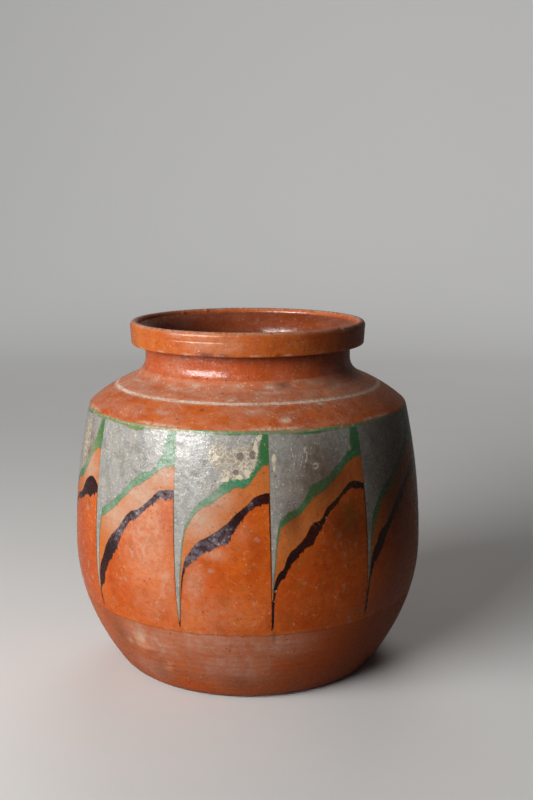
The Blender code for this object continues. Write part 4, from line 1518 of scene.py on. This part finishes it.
# %% [markdown]
# Light
#
# The pot was lit by a window at the left. A wide soft area lamp with a limited beam stands there, high
# enough that its reflection lies on the turn of the shoulder. A weak fill behind lights the back, and
# the glaze doesn't mirror it, because its image would draw a white line along the lip. The lamps are
# set so that a colour comes out about as it is written.
#
# Paper and sky look pale to the camera and give the pot little light. A glaze mirrors them, and a
# pot on white paper would be veiled by them, so they are less pale in the glaze, and the paper falls
# into shade there at the right, away from the window. Light Path tells the kinds of rays apart.

# %% Lamps and sky
# Place, width, height, watts, width of the beam in degrees, tint, and whether the glaze mirrors it
LAMPS = {
    "window": ((-0.675, -0.610, 0.400), 0.78, 0.38, 5.6, 110.0, (1.0, 0.995, 0.985), True),
    "back_fill": ((0.05, 1.36, 0.85), 1.0, 0.8, 1.80, 70.0, (1.0, 0.98, 0.95), False),
}
AIM = np.array((0.0, 0.0, 0.12))
SKY, SKY_SEEN = 0.026, 0.32
SKY_TINT = (1.0, 0.985, 0.965)
# How much of the pale surroundings shows in the glaze, and how much of the paper at the right
MIRRORED, MIRRORED_RIGHT = 0.42, 0.12


def add_lamp(name, spot, width, height, watts, beam, tint, mirrored):
    """A soft rectangle of light that looks at the middle of the pot."""
    data = bpy.data.lights.new(name, "AREA")
    data.shape = "RECTANGLE"
    data.size, data.size_y = width, height
    data.energy = watts
    data.spread = math.radians(beam)
    data.color = tint
    lamp = bpy.data.objects.new(name, data)
    lamp.location = spot
    lamp.visible_glossy = mirrored
    away = np.array(spot) - AIM
    flat = math.hypot(away[0], away[1])
    lamp.rotation_euler = (math.atan2(flat, away[2]), 0.0, math.atan2(away[0], -away[1]))
    scene.collection.objects.link(lamp)


def seen_share(tree, mirrored):
    """1 for what the camera sees, a share for what the glaze mirrors, and 0 for light on the pot."""
    ray = place(tree, "LightPath", "Is Camera Ray")
    mirror = calc("MAXIMUM", ray.sibling("Is Glossy Ray"), ray.sibling("Is Transmission Ray"))
    return calc("MAXIMUM", ray, mirror * mirrored)


for name, values in LAMPS.items():
    add_lamp(name, *values)

world = bpy.data.worlds.new("soft_sky")
world.use_nodes = True
background = world.node_tree.nodes["Background"].inputs
wire(SKY_TINT, background["Color"])
seen = seen_share(world.node_tree, MIRRORED)
wire(spread(seen, 0.0, 1.0, SKY, SKY_SEEN), background["Strength"])
scene.world = world
print("lamps:", len(LAMPS))

# %% Paper of the sweep
PAPER_DARK, PAPER_PALE = (0.72, 0.712, 0.700), (0.76, 0.752, 0.740)
PAPER_AS_LIGHT = (0.17, 0.145, 0.12)
PAPER_ROUGH, PAPER_INDEX, PAPER_DEPTH = 0.85, 1.3, 0.00005
# Where the mirrored paper falls into shade, from left to right
SHADE_FROM, SHADE_TO = -0.10, 0.30
# The paper glows a little far from the pot, where the lamps don't reach: from where to where, how much
GLOW_FROM, GLOW_TO, GLOW = 0.20, 1.4, 0.32

paper, tree = start_finish("sweep_paper")
sideways = place(tree, "SeparateXYZ", 0, {0: on_surface(tree)})
seen = seen_share(tree, spread(sideways, SHADE_FROM, SHADE_TO, MIRRORED, MIRRORED_RIGHT))
colour = blend(seen, PAPER_AS_LIGHT, blend(noise(tree, 9.0, 4.0), PAPER_DARK, PAPER_PALE))
away = place(tree, "VectorMath", "Value", {0: on_surface(tree)}, operation="LENGTH")
shader = tree.nodes["Principled BSDF"].inputs
wire(seen * spread(away, GLOW_FROM, GLOW_TO, 0.0, GLOW), shader["Emission Color"])
shader["Emission Strength"].default_value = 1.0
end_finish(paper, colour, PAPER_ROUGH, noise(tree, 900.0, 2.0), PAPER_DEPTH, PAPER_INDEX)
sweep.data.materials.append(paper)
